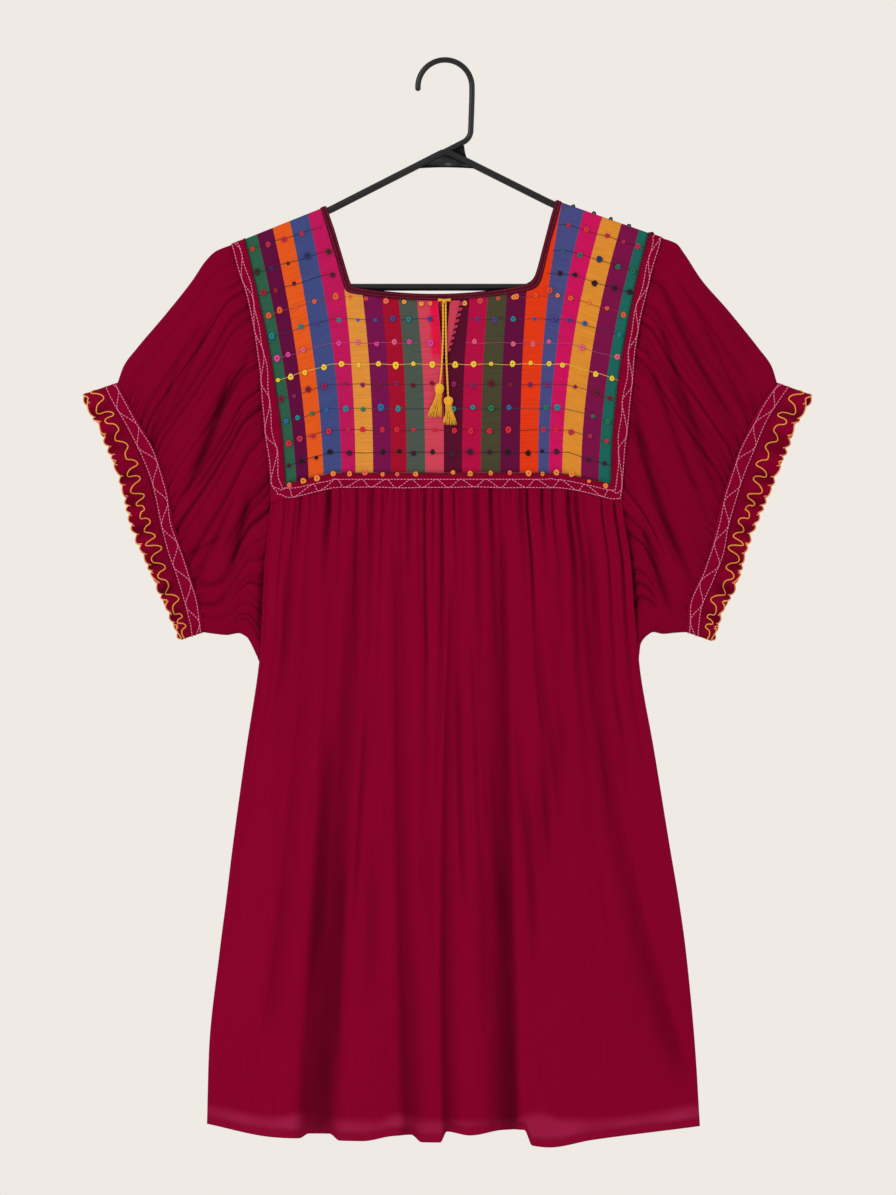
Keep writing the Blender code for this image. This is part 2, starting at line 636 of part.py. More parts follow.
def yoke_line(q):
    """The yoke's outer edge: down the side in a soft curve, then along the bottom."""
    f, g, on_left = parts_of(q)
    low = np.where(on_left, YOKE_LEFT.bottom, YOKE_RIGHT.bottom)
    top = np.where(on_left, YOKE_LEFT.top, YOKE_RIGHT.top)
    total = length_to(low, yoke_bottom(low))
    s_side = down_side(f, total)
    bend = np.where(on_left, YOKE_BEND_LEFT, YOKE_BEND_RIGHT)
    x_side = low + (top - low) * (1 - s_side / total) ** bend
    x_low = SLIT_X + (low - SLIT_X) * g
    s_low = length_to(x_low, yoke_bottom(x_low))
    return np.where(f < 1, x_side, x_low), np.where(f < 1, s_side, s_low)


def band_line(q):
    """The band's outer edge: the torso's own edge at the sides, a band's width under the yoke below."""
    f, g, on_left = parts_of(q)
    corner_x = np.where(on_left, CORNER_LEFT_X, CORNER_RIGHT_X)
    total = length_to(corner_x, yoke_bottom(corner_x) - BAND_DROP)
    s_side = down_side(f, total)
    edge, _ = torso_edge(s_side, on_left)
    x_low = SLIT_X + (corner_x - SLIT_X) * g
    s_low = length_to(x_low, yoke_bottom(x_low) - BAND_DROP)
    return np.where(f < 1, edge, x_low), np.where(f < 1, s_side, s_low)


def ribbon(rows, inner, outer):
    """Points between two edges, laid out flat as x and length of cloth, then hung."""
    share = np.asarray(rows)[:, None]
    x = inner[0][None] * (1 - share) + outer[0][None] * share
    s = inner[1][None] * (1 - share) + outer[1][None] * share
    return x, s


def opened(x, s):
    """Pushes the cloth apart at the slit, most at the neck."""
    below = (s - NECK_DROP) / SLIT_LENGTH
    half = SLIT_HALF * (1 - below) * (below < 1) * blend(below * 20 + 1.0)
    away = x - SLIT_X
    return x + np.sign(away) * half * np.exp(-np.abs(away) / SLIT_EASE)


def ribbon_q(slit=0.0):
    """Where the ribbon's columns are: close together round the arms, and at the slit's two edges."""
    near = np.linspace(0, ROUND_SHARE, ROUND_COLUMNS + 1)[:-1]
    side = np.concatenate([near, np.linspace(ROUND_SHARE, 1, SIDE_COLUMNS + 1)[:-1]])
    half = np.linspace(1, 1.5, HALF_COLUMNS + 1)
    left = np.concatenate([side, half[:-1]])
    middle = [1.5 - slit, 1.5 + slit] if slit else [1.5]
    return np.concatenate([left, middle, (3 - left)[::-1]])


def make_yoke(side):
    front = side < 0
    slit = SLIT_END_HALF / (2 * (SLIT_X - YOKE_LEFT.bottom)) if front else 0
    q = ribbon_q(slit)
    raised = 0 if front else BACK_NECK_RAISED
    x, s = ribbon(YOKE_ROWS, neck_line(q, -SEAM_GAP, raised), yoke_line(q))
    skip = ()
    if front:
        x = opened(x, s)
        left_edge = int(np.searchsorted(q, 1.5)) - 1
        skip = [(i, left_edge) for i in range(SLIT_YOKE_ROWS)]
    wall("yoke_front" if front else "yoke_back", hang(x, s, side), CLOTH, STRIPED, skip=skip)


def make_band(side):
    q = ribbon_q()
    yoke_x, yoke_s = yoke_line(q)
    outer = band_line(q)
    f, g, on_left = parts_of(q)
    sideways = np.where(g == 1, np.where(on_left, -SEAM_GAP, SEAM_GAP), 0)
    inner = (yoke_x + sideways, yoke_s + np.where(f == 1, SEAM_GAP, 0))
    x, s = ribbon((0.0, 1.0), inner, outer)
    wall("band_front" if side < 0 else "band_back", hang(x, s, side), CLOTH, BURGUNDY)


def make_binding(side):
    q = ribbon_q()
    raised = 0 if side < 0 else BACK_NECK_RAISED
    x, s = ribbon((0.0, 1.0), neck_line(q, BINDING_WIDTH, raised), neck_line(q, 0, raised))
    thick = (BINDING - CLOTH) / 2
    name = "neck_binding_front" if side < 0 else "neck_binding_back"
    wall(name, hang(x, s, side, thick), BINDING, MAROON)


# Body


def fold_x(fold, z):
    """The fold's line: a curve through its three places."""
    a, b, c = FOLD_TOP_Z, FOLD_MID_Z, FOLD_HEM_Z
    return (fold.x_top * (z - b) * (z - c) / ((a - b) * (a - c))
            + fold.x_mid * (z - a) * (z - c) / ((b - a) * (b - c))
            + fold.x_hem * (z - a) * (z - b) / ((c - a) * (c - b)))


def folds(table, x, z):
    """Depth of all the large folds: soft troughs that widen and deepen towards the hem."""
    total = np.zeros(np.broadcast(x, z).shape)
    down = np.clip((FOLD_TOP_Z - z) / (FOLD_TOP_Z - FOLD_HEM_Z), 0, 1)
    for fold in table:
        half = fold.half_top + (fold.half_hem - fold.half_top) * down
        grown = 0.35 + 0.65 * down
        within = blend((fold.z_start - z) / FOLD_FADE) * blend((z - fold.z_end) / FOLD_FADE)
        total += fold.depth * grown * within * np.exp(-((x - fold_x(fold, z)) / half) ** 2)
    return total


def hem_z(x, raised, lifts):
    """Height of the hem: level at the side seams, sagging between them, lifted where a fold goes in."""
    left, right = TORSO[-1].left, TORSO[-1].right
    across = np.clip((2 * x - left - right) / (right - left), -1, 1)
    z = HEM_SIDE_Z + (raised - HEM_SAG) * (1 - across ** 4)
    for lift in lifts:
        z = z + lift.rise * np.exp(-((x - lift.x) / lift.half) ** 2)
    return z


def uneven(p):
    """Shares the gathers out unevenly, from 0 to 1."""
    moved = p + sum(d.size * np.sin(2 * math.pi * d.turns * p + d.start) for d in GATHER_DRIFTS)
    first, last = (sum(d.size * math.sin(2 * math.pi * d.turns * end + d.start) for d in GATHER_DRIFTS)
                   for end in (0, 1))
    return (moved - first) / (1 + last - first)


def make_body(side):
    front = side < 0
    gathers = FRONT_GATHERS if front else BACK_GATHERS
    p = np.linspace(0, 1, 2 * gathers + 1)[None]
    a = uneven(p)
    b = np.asarray(BODY_ROWS)[:, None]
    x_top = CORNER_LEFT_X + (CORNER_RIGHT_X - CORNER_LEFT_X) * a
    seam_x, _ = band_line(ribbon_q())
    bottom = np.sort(seam_x[(ribbon_q() >= 1) & (ribbon_q() <= 2)])
    z_top = np.interp(x_top, bottom, yoke_bottom(bottom) - BAND_DROP) - BODY_SEAM_GAP
    x_hem = TORSO[-1].left + (TORSO[-1].right - TORSO[-1].left) * a
    z_hem = hem_z(x_hem, 0 if front else BACK_HEM_RAISED, FRONT_HEM if front else BACK_HEM)
    z = z_top * (1 - b) + z_hem * b
    left, right = column(TORSO, "z", "left", z), column(TORSO, "z", "right", z)
    x = left + (right - left) * a
    phase = np.cos(2 * math.pi * gathers * p)
    fade = np.exp(-(z_top - z) / GATHER_FADE) * blend((z_top - z) / GATHER_RISE + 0.35)
    edges = blend(np.minimum(a, 1 - a) / CALM_AT_SIDES)
    relief = (GATHER_DEPTH * phase * fade - folds(FRONT_FOLDS if front else BACK_FOLDS, x, z)) * edges
    grid = hang(x, length_to(x, z), side, relief)
    wall("body_front" if front else "body_back", grid, CLOTH, BURGUNDY, fine_rows=BODY_FINE_ROWS)


# Sleeves, cuffs and ruffles are rings: w is the share from the top fold down to the fold under the arm,
# on the front (side -1) and on the back (side +1)


def ring_of(w):
    """Shares and sides once round: down the front, under the arm and up the back."""
    return (np.concatenate([w, [1.0], w[:0:-1]]),
            np.concatenate([-np.ones(len(w)), [0.0], np.ones(len(w) - 1)]))


def cuff_share(w, column):
    """One column of CUFF_SHARES at the share w."""
    shares = [row.share for row in CUFF_SHARES]
    return smooth(shares, [row[column] for row in CUFF_SHARES], w)


def cuff_line(w, left):
    """The cuff seam: drawn in near its upper third, and as CUFF_SHARES says."""
    table = SLEEVE_LEFT if left else SLEEVE_RIGHT
    end = table[-1]
    curve = CUFF_CURVE_LEFT if left else CUFF_CURVE_RIGHT
    drawn = curve * np.sin(math.pi * w ** CUFF_CURVE_SHIFT) ** 2 + cuff_share(w, 1 if left else 2)
    outwards = -1 if left else 1
    x = end.top_x + (end.under_x - end.top_x) * w - outwards * drawn
    return x, end.top_z + (end.under_z - end.top_z) * w


def lens(w):
    """Half an ellipse: 0 at both folds and 1 in the middle."""
    return np.sqrt(np.clip(4 * w * (1 - w), 0, 1))


def armhole(w, side, left):
    """The armhole's edge, a seam's gap outside the torso's own edge."""
    start = (SLEEVE_LEFT if left else SLEEVE_RIGHT)[0]
    gap = -ARM_SEAM_GAP if left else ARM_SEAM_GAP
    s = w * length_to(start.under_x, start.under_z)
    edge, z = torso_edge(s, left)
    depth = torso_depth(edge, z, s, side)
    return edge + gap, z, depth * blend((1 - w) / ARMHOLE_CLOSES)


def swags(table, w, v):
    """Depth of the sleeve's hanging folds."""
    total = np.zeros(np.broadcast(w, v).shape)
    for swag in table:
        within = blend((v - swag.v_start) / 0.2 + 0.3) * blend((swag.v_end - v) / 0.25)
        total += swag.depth * within * np.exp(-((w - swag.w) / swag.half) ** 2)
    return total


def sleeve_grid(left):
    table = SLEEVE_LEFT if left else SLEEVE_RIGHT
    w, side = ring_of(SLEEVE_W)
    w, side = w[None], side[None]
    v = np.asarray(SLEEVE_ROWS)[:, None]
    arm_x, arm_z, arm_depth = armhole(w, side, left)
    flow = w + SLEEVE_FLOW * w * (1 - w) * v
    cuff_x, cuff_z = cuff_line(flow, left)
    first, last = table[0], table[-1]
    plan = []
    for arm, cuff, top, under, start, end in (
            (arm_x, cuff_x, "top_x", "under_x", first, last),
            (arm_z, cuff_z, "top_z", "under_z", first, last)):
        top_line, under_line = column(table, "v", top, v), column(table, "v", under, v)
        corners = ((1 - v) * ((1 - flow) * getattr(start, top) + flow * getattr(start, under))
                   + v * ((1 - flow) * getattr(end, top) + flow * getattr(end, under)))
        plan.append((1 - v) * arm + v * cuff + (1 - flow) * top_line + flow * under_line - corners)
    swag_table = LEFT_SWAGS if left else RIGHT_SWAGS
    depth = ((1 - v) * arm_depth + v * CUFF_HALF_DEPTH * lens(flow)
             + SLEEVE_PUFF * np.sin(math.pi * v) * lens(flow))
    phase = np.zeros(w.shape)
    count, first_gather = len(SLEEVE_W), len(NEAR_TOP_FOLD)
    phase[0, first_gather:count - 1:2], phase[0, first_gather + 1:count - 1:2] = 1, -1
    phase[0, count + 1:] = phase[0, 1:count][::-1]
    near_seams = np.exp(-v / SLEEVE_GATHER_FADE_ARM) + np.exp((v - 1) / SLEEVE_GATHER_FADE_CUFF)
    gathered = phase * SLEEVE_GATHER_DEPTH * near_seams
    depth = depth + (gathered - swags(swag_table, w, v)) * blend(lens(flow) * 1.6 - 0.35)
    return np.stack([plan[0], side * depth, plan[1]], axis=-1)


def cuff_ring(w, side, left, out):
    """A ring round the cuff, a distance out from the sleeve's end."""
    end = (SLEEVE_LEFT if left else SLEEVE_RIGHT)[-1]
    run = np.array((end.under_x - end.top_x, end.under_z - end.top_z))
    run /= np.linalg.norm(run)
    away = np.array((run[1], -run[0])) if left else np.array((-run[1], run[0]))
    x, z = cuff_line(w, left)
    places = (x + out * away[0], side * CUFF_HALF_DEPTH * lens(w), z + out * away[1])
    return np.stack(np.broadcast_arrays(*places), axis=-1)


def make_sleeve(left):
    name = "sleeve_left" if left else "sleeve_right"
    wall(name, sleeve_grid(left), CLOTH, BURGUNDY, ring=True)


def make_cuff(left):
    w, side = ring_of(SLEEVE_W + SLEEVE_FLOW * SLEEVE_W * (1 - SLEEVE_W))
    out = np.array([CUFF_SEAM_GAP, CUFF_WIDTH])[:, None]
    grid = cuff_ring(w[None], side[None], left, out)
    wall("cuff_left" if left else "cuff_right", grid, CLOTH, BURGUNDY, ring=True)


def make_ruffle(left):
    count = RUFFLE_WAVES * 4
    turn = np.arange(count) / count
    w = np.where(turn < 0.5, 2 * turn, 2 - 2 * turn)
    side = np.where(turn < 0.5, -1.0, 1.0)
    side[0], side[count // 2] = 0.0, 0.0
    r = np.asarray(RUFFLE_ROWS)[:, None]
    length = cuff_share(w, 3 if left else 4)
    grid = cuff_ring(w[None], side[None], left, CUFF_WIDTH + CUFF_SEAM_GAP + r * length[None])
    wave = np.sin(2 * math.pi * RUFFLE_WAVES * turn + RUFFLE_WAVE_DRIFT * np.sin(10 * math.pi * turn))
    inside = blend(lens(w) * 1.7 - 0.25)[None]
    outward = r * RUFFLE_FLARE * lens(w)[None] + blend(r * 1.4) * RUFFLE_WAVE_DEPTH * wave[None] * inside
    grid[..., 1] += side[None] * outward
    grid[..., 2] += RUFFLE_FOLD_SWING * r * wave[None] * (1 - lens(w)[None] ** 4)
    wall("ruffle_left" if left else "ruffle_right", grid, CLOTH, BURGUNDY, ring=True)


# Slit edging and tie


def front_at(x, z, proud):
    """A point in front of the yoke, a distance proud of the cloth's middle."""
    return hang(np.asarray(x, float), length_to(np.asarray(x, float), z), -1, proud)


def make_edging():
    count = 2 * EDGING_TEETH + 1
    t = np.linspace(0.0, 1.0, count)
    z = EDGING_TOP_Z - t * EDGING_LENGTH
    slit_x = SLIT_X + SLIT_HALF * (1 - t) + EDGING_OFF_SLIT
    width = EDGING_WIDTH * (1 - t) ** EDGING_TAPER + EDGING_END_WIDTH
    tooth = np.where(np.arange(count) % 2 == 1, TOOTH * (1 - t / 2), 0.0)
    x = np.stack([slit_x, slit_x + INNER_SHARE * width, slit_x + TOOTH_SHARE * width + TOOTH_ROOT + tooth])
    proud = CLOTH / 2 + EDGING_THICKNESS / 2 + SEAM_GAP
    grid = front_at(x, np.broadcast_to(z, x.shape), proud)
    wall("slit_edging", grid, EDGING_THICKNESS, CORAL)


def cord_path(knots):
    """Points along a cord that lies on the yoke, a few diameters apart."""
    height = [k.z for k in knots]
    z = np.linspace(height[0], height[-1], CORD_POINTS)
    x = smooth(height, [k.x for k in knots], z)
    over_edging = blend((z - CORD_SETTLE_Z) / CORD_SETTLE_LENGTH)
    return front_at(x, z, CORD_ON_YOKE + (EDGING_THICKNESS + SEAM_GAP) * over_edging)


def make_cord(name, knots):
    curve = bpy.data.curves.new(name, "CURVE")
    curve.dimensions = "3D"
    curve.bevel_depth = TIE_CORD
    curve.bevel_resolution = 2
    curve.use_fill_caps = True
    points = cord_path(knots)
    spline = curve.splines.new("POLY")
    spline.points.add(len(points) - 1)
    for point, place in zip(spline.points, points):
        point.co = (*place, 1.0)
    painted(name, curve, YELLOW)


def make_bar():
    x = TIE_BAR_X + np.linspace(-TIE_BAR_HALF, TIE_BAR_HALF, 5)
    path = front_at(x, np.full(len(x), TIE_BAR_Z), BINDING - CLOTH / 2 + SEAM_GAP + TIE_BAR_RADIUS)
    tube("tie_bar", path, TIE_BAR_RADIUS, False, YELLOW)


def make_tassel(name, tassel):
    """A head turned round its own line, and strands drawn out of the faces of its underside."""
    bm = bmesh.new()
    turns = np.arange(TASSEL_SIDES) * 2 * math.pi / TASSEL_SIDES
    rings = []
    for row in TASSEL_PROFILE:
        radius, z = TASSEL_HEAD * row.radius, -TASSEL_HEAD_LENGTH * row.down
        rings.append([bm.verts.new((radius * math.cos(a), radius * math.sin(a) * TASSEL_DEPTH_SHARE, z))
                      for a in turns])
    bm.faces.new(rings[0])
    for upper, lower in zip(rings, rings[1:]):
        for j in range(TASSEL_SIDES):
            k = (j + 1) % TASSEL_SIDES
            bm.faces.new((upper[j], upper[k], lower[k], lower[j]))
    low = -TASSEL_HEAD_LENGTH
    inner = [bm.verts.new((v.co.x * 0.5, v.co.y * 0.5, low)) for v in rings[-1]]
    middle = bm.verts.new((0, 0, low))
    roots = []
    for j in range(TASSEL_SIDES):
        k = (j + 1) % TASSEL_SIDES
        roots.append(bm.faces.new((rings[-1][j], rings[-1][k], inner[k], inner[j])))
        roots.append(bm.faces.new((inner[j], inner[k], middle)))
    bmesh.ops.recalc_face_normals(bm, faces=bm.faces)
    bmesh.ops.inset_individual(bm, faces=roots, thickness=STRAND_INSET, use_even_offset=True)
    grown = bmesh.ops.extrude_discrete_faces(bm, faces=roots)
    for n, face in enumerate(grown["faces"]):
        centre = face.calc_center_median()
        reach = TASSEL_LENGTH * (1 + STRAND_UNEVEN * math.sin(2.4 * n))
        for v in face.verts:
            v.co.x = centre.x * TASSEL_SPREAD + (v.co.x - centre.x) * STRAND_TAPER
            v.co.y = centre.y * TASSEL_DEPTH_SPREAD + (v.co.y - centre.y) * STRAND_TAPER
            v.co.z -= reach
    for v in bm.verts:
        v.co.x += tassel.lean * -v.co.z * blend(-v.co.z / TASSEL_BEND)
    top = front_at(tassel.x, tassel.z, CLOTH / 2 + 2 * SEAM_GAP + TASSEL_HEAD * TASSEL_DEPTH_SHARE)
    for v in bm.verts:
        v.co.x += top[0]
        v.co.y += top[1] - v.co.z * TASSEL_TILT
        v.co.z += top[2]
    bmesh.ops.triangulate(bm, faces=bm.faces)
    mesh = bpy.data.meshes.new(name)
    bm.to_mesh(mesh)
    bm.free()
    finish(name, mesh, YELLOW)


def build():
    for obj in list(bpy.data.objects):
        bpy.data.objects.remove(obj, do_unlink=True)
    make_hanger()
    for side in (-1, 1):
        make_yoke(side)
        make_band(side)
        make_binding(side)
        make_body(side)
    for left in (True, False):
        make_sleeve(left)
        make_cuff(left)
        make_ruffle(left)
    make_edging()
    make_bar()
    make_cord("tie_cord_left", LEFT_CORD)
    make_cord("tie_cord_right", RIGHT_CORD)
    make_tassel("tassel_left", LEFT_TASSEL)
    make_tassel("tassel_right", RIGHT_TASSEL)


build()
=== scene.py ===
# Looks of a woven blouse on a clothes hanger: thin cloth shells on the frame's walls, the yoke's stripes
# and knots, stitching, embroidered ruffles, a tie with tassels, and a moulded hanger.
# Metres. The origin is under the top of the hook, the front faces -Y, +Z is up. Left is the viewer's.

import math

import bpy
import numpy as np
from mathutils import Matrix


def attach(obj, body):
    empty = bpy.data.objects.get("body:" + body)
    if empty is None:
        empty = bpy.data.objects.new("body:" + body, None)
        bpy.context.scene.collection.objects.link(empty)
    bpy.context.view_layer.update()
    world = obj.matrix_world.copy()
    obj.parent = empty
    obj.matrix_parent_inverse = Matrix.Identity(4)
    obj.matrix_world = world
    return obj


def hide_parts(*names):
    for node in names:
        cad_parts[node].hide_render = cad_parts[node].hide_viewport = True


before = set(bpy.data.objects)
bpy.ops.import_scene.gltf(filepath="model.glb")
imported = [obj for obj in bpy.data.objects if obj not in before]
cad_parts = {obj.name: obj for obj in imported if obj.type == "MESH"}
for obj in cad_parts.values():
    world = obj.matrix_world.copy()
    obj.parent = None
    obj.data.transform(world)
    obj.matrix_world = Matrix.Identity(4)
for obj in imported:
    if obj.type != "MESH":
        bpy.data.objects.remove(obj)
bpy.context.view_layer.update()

tau = 2 * math.pi
print("frame loaded:", len(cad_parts), "nodes")

# Camera: straight at the front, the photograph's frame
cameraLook = {"x": 0.0027, "z": -0.4748, "distance": 7.0, "frameHeight": 1.061, "sensor": 36.0}


def makeCamera():  # the lens is sensor * distance / frame height
    camera = bpy.data.cameras.new("camera")
    camera.sensor_width = cameraLook["sensor"]
    camera.lens = cameraLook["sensor"] * cameraLook["distance"] / cameraLook["frameHeight"]  # fills the height
    holder = bpy.data.objects.new("camera", camera)
    holder.location = (cameraLook["x"], -cameraLook["distance"], cameraLook["z"])
    holder.rotation_euler = (math.pi / 2, 0, 0)
    bpy.context.scene.collection.objects.link(holder)
    bpy.context.scene.camera = holder


makeCamera()
print("camera placed")

# Shared form of the cloth, the same as the frame's walls
form = {
    "overArm": 0.0044, "roundFall": 0.00473, "fillOut": 0.110, "backFlatter": 0.85, "lensPower": 2.4,
    "sideHalf": 0.0009, "neckBendLeft": 0.008, "neckBendRight": 0.005,
}
hangerLook = {
    "x": [0.0010, -0.1060, -0.2060, -0.2060, 0.2050, 0.2050, 0.0990],
    "z": [-0.0783, -0.1328, -0.1730, -0.1993, -0.1993, -0.1646, -0.1274],
    "radius": [0.008, 0.150, 0.013, 0.013, 0.013, 0.013, 0.150],
    "tube": 0.0032, "rod": 0.00255, "hookRadius": 0.024, "hookTurn": math.radians(183),
    "footX": [0.0240, 0.0227, -0.0040], "footZ": [-0.0300, -0.0672, -0.0809], "footRadius": [0, 0.012, 0],
    "webHalf": 0.0014, "sides": 28,
}
torso = {
    "z": [-0.150, -0.183, -0.217, -0.253, -0.316, -0.386, -0.446, -0.500,
          -0.522, -0.535, -0.610, -0.700, -0.745, -0.790, -0.877, -0.943],
    "left": [-0.1925, -0.1840, -0.1735, -0.1670, -0.1610, -0.1545, -0.1600, -0.1625,
             -0.1640, -0.1652, -0.1765, -0.1889, -0.1943, -0.2001, -0.2094, -0.2112],
    "right": [0.1950, 0.1845, 0.1762, 0.1695, 0.1635, 0.1570, 0.1650, 0.1690,
              0.1715, 0.1726, 0.1855, 0.2002, 0.2078, 0.2140, 0.2222, 0.2262],
    "middle": [0.0042, 0.0065, 0.0095, 0.0135, 0.0185, 0.0225, 0.0260, 0.0280,
               0.0285, 0.0290, 0.0310, 0.0330, 0.0335, 0.0340, 0.0350, 0.0360],
    "side": [0.0042, 0.0060, 0.0090, 0.0120, 0.0160, 0.0170, 0.0130, 0.0065,
             0.0030, 0.0009, 0.0009, 0.0009, 0.0009, 0.0009, 0.0009, 0.0009],
}
yokeLook = {
    "slitX": -0.001, "neckTop": (0.1100, 0.1050), "neckBottom": (0.0875, 0.0850), "neckPower": (48.0, 22.0),
    "neckDrop": 0.0915, "neckSag": 0.0085, "backNeckRaised": 0.0012, "underBinding": 0.0015,
    "top": (-0.1785, 0.1818), "bottom": (-0.1416, 0.1474), "bend": (1.5, 1.8), "middleX": 0.003,
    "bottomZ": -0.365, "cornerDip": 0.010, "levelHalf": 0.097, "dipWidth": 0.047, "dipPower": 1.2,
    "cornerX": (-0.1545, 0.1570), "bandDrop": 0.013, "roundEnd": 0.0075, "roundShare": 0.14,
    "slitLength": 0.056, "slitHalf": 0.0042, "slitEase": 0.018, "slitEndHalf": 0.0006,
    "columnsRound": 6, "columnsSide": 44, "columnsHalf": 96, "rowsSlit": 14, "rowsBelow": 17,
    "thickness": 0.0007,
}


def smooth(xs, ys, at):  # cubic through the rows that never overshoots them, straight on past the ends
    xs, ys, at = np.asarray(xs, float), np.asarray(ys, float), np.asarray(at, float)
    if xs[0] > xs[-1]:
        xs, ys = xs[::-1], ys[::-1]
    step = np.diff(xs)
    rise = np.diff(ys) / step
    slope = np.empty_like(xs)
    slope[0], slope[-1] = rise[0], rise[-1]
    same = rise[:-1] * rise[1:] > 0
    slope[1:-1] = np.where(same, 2 * rise[:-1] * rise[1:] / np.where(same, rise[:-1] + rise[1:], 1), 0)
    inside = np.clip(at, xs[0], xs[-1])
    i = np.clip(np.searchsorted(xs, inside, side="right") - 1, 0, len(xs) - 2)
    h = step[i]
    t = (inside - xs[i]) / h
    value = ((1 + 2 * t) * (1 - t) ** 2 * ys[i] + t * (1 - t) ** 2 * h * slope[i]
             + t * t * (3 - 2 * t) * ys[i + 1] + t * t * (t - 1) * h * slope[i + 1])
    return value + (at - inside) * np.where(at > xs[-1], slope[-1], slope[0])


def edgeAt(name, z):  # one column of the torso's table at the height z
    return smooth(torso["z"], torso[name], z)


def settle(t):  # t(2 - t): rises from 0 to 1, quickly at first
    t = np.clip(t, 0, 1)
    return t * (2 - t)


def blend(t):  # t^2(3 - 2t): rises from 0 to 1, slowly at both ends
    t = np.clip(t, 0, 1)
    return t * t * (3 - 2 * t)


def unit(v):  # v divided by its own length
    return v / np.maximum(np.linalg.norm(v, axis=-1, keepdims=True), 1e-12)


def lengthAlong(path):  # the length of the path up to each of its points
    return np.concatenate([[0], np.cumsum(np.linalg.norm(np.diff(path, axis=0), axis=1))])


def shoulderCorners():  # each arm's line lifted by the cloth round it, then level across the neck
    x, z = hangerLook["x"], hangerLook["z"]
    found = []
    for a, b, at in ((2, 1, x[2]), (2, 1, x[1]), (1, 0, x[1] + form["neckBendLeft"]),
                     (6, 0, x[6] - form["neckBendRight"]), (6, 5, x[6]), (6, 5, x[5])):
        slope = (z[b] - z[a]) / (x[b] - x[a])
        found.append((at, z[a] + (at - x[a]) * slope + form["overArm"] * math.hypot(1, slope)))
    return np.array(found).T


shoulderX, shoulderZ = shoulderCorners()


def shoulder(x):  # straight between the corners
    return np.interp(x, shoulderX, shoulderZ)


def fallOf(s):  # a quarter turn round the arm, then straight down
    turn = np.minimum(s / form["overArm"], math.pi / 2)
    return form["roundFall"] * (1 - np.cos(turn)) + np.maximum(s - form["overArm"] * math.pi / 2, 0)


def lengthTo(x, z):  # the inverse of fallOf, at the height z
    fall = np.maximum(shoulder(x) - z, 0)
    turned = form["overArm"] * np.arccos(np.clip(1 - fall / form["roundFall"], 0, 1))
    return turned + np.maximum(fall - form["roundFall"], 0)


def torsoEdge(s, onLeft):  # fixed point of x = edge(shoulder(x) - fall(s))
    x = np.where(onLeft, torso["left"][0], torso["right"][0]) + 0 * s
    for _ in range(12):
        z = shoulder(x) - fallOf(s)
        x = np.where(onLeft, edgeAt("left", z), edgeAt("right", z))
    return x, shoulder(x) - fallOf(s)


def torsoDepth(x, z, s, side):  # radius * sin(turn) near the arm, then a flat lens |1 - across^2.4|
    left, right = edgeAt("left", z), edgeAt("right", z)
    across = np.clip((2 * x - left - right) / (right - left), -1, 1)
    flatter = np.where(side > 0, form["backFlatter"], 1.0)
    edge = np.maximum(edgeAt("side", z) * flatter, form["sideHalf"])
    full = edge + (edgeAt("middle", z) * flatter - edge) * (1 - np.abs(across) ** form["lensPower"])
    turn = np.minimum(s / form["overArm"], math.pi / 2)
    filled = settle((fallOf(s) - form["roundFall"]) / form["fillOut"])
    return form["overArm"] * np.sin(turn) + (full - form["overArm"]) * filled


def hang(x, s, side, relief=0.0):
    # the place at x across and the length s of cloth from the shoulder line, side -1 in front and +1 behind:
    # z is shoulder less fall, y is side * (depth + relief), and round the arm the relief lifts by its cosine
    x, s = np.broadcast_arrays(np.asarray(x, float), np.asarray(s, float))
    z = shoulder(x) - fallOf(s)
    depth = torsoDepth(x, z, s, side) + relief
    lifted = relief * np.cos(np.minimum(s / form["overArm"], math.pi / 2))
    return np.stack([x, side * depth, z + lifted], axis=-1)


# Meshes from arrays


def outward(points, faces):  # turns all faces round when their signed volume is negative
    volume = 0.0
    for group in faces:
        a = points[group[:, 0]]
        for k in range(1, group.shape[1] - 1):
            b, c = points[group[:, k]], points[group[:, k + 1]]
            volume += float(np.sum(a * np.cross(b, c)))
    return [group[:, ::-1] for group in faces] if volume < 0 else faces


def makePiece(name, points, faces, look, slot, nodes=(), uv=None, values=None, tints=None):
    # faces: a list of arrays, each (n, corners); uv: per corner in the same order; values and tints: per point
    mesh = bpy.data.meshes.new(name)
    points = np.asarray(points, np.float32).reshape(-1, 3)
    corners = np.concatenate([group.ravel() for group in faces]).astype(np.int32)
    sizes = np.concatenate([np.full(len(group), group.shape[1]) for group in faces])
    starts = (np.cumsum(sizes) - sizes).astype(np.int32)
    mesh.vertices.add(len(points))
    mesh.vertices.foreach_set("co", points.ravel())
    mesh.loops.add(len(corners))
    mesh.loops.foreach_set("vertex_index", corners)
    mesh.polygons.add(len(sizes))
    mesh.polygons.foreach_set("loop_start", starts)
    mesh.update(calc_edges=True)
    if uv is not None:
        layer = mesh.uv_layers.new(name="cloth")
        layer.uv.foreach_set("vector", np.asarray(uv, np.float32).ravel())
    for key, value in (values or {}).items():
        layer = mesh.attributes.new(key, "FLOAT", "POINT")
        layer.data.foreach_set("value", np.asarray(value, np.float32).ravel())
    if tints is not None:
        layer = mesh.attributes.new("thread", "FLOAT_COLOR", "POINT")
        layer.data.foreach_set("color", np.asarray(tints, np.float32).ravel())
    mesh.polygons.foreach_set("use_smooth", np.ones(len(sizes), bool))
    mesh.update()
    mesh.validate()
    mesh.materials.append(look)
    piece = bpy.data.objects.new(name, mesh)
    bpy.context.scene.collection.objects.link(piece)
    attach(piece, "root")
    if nodes:
        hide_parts(*nodes)
    return piece


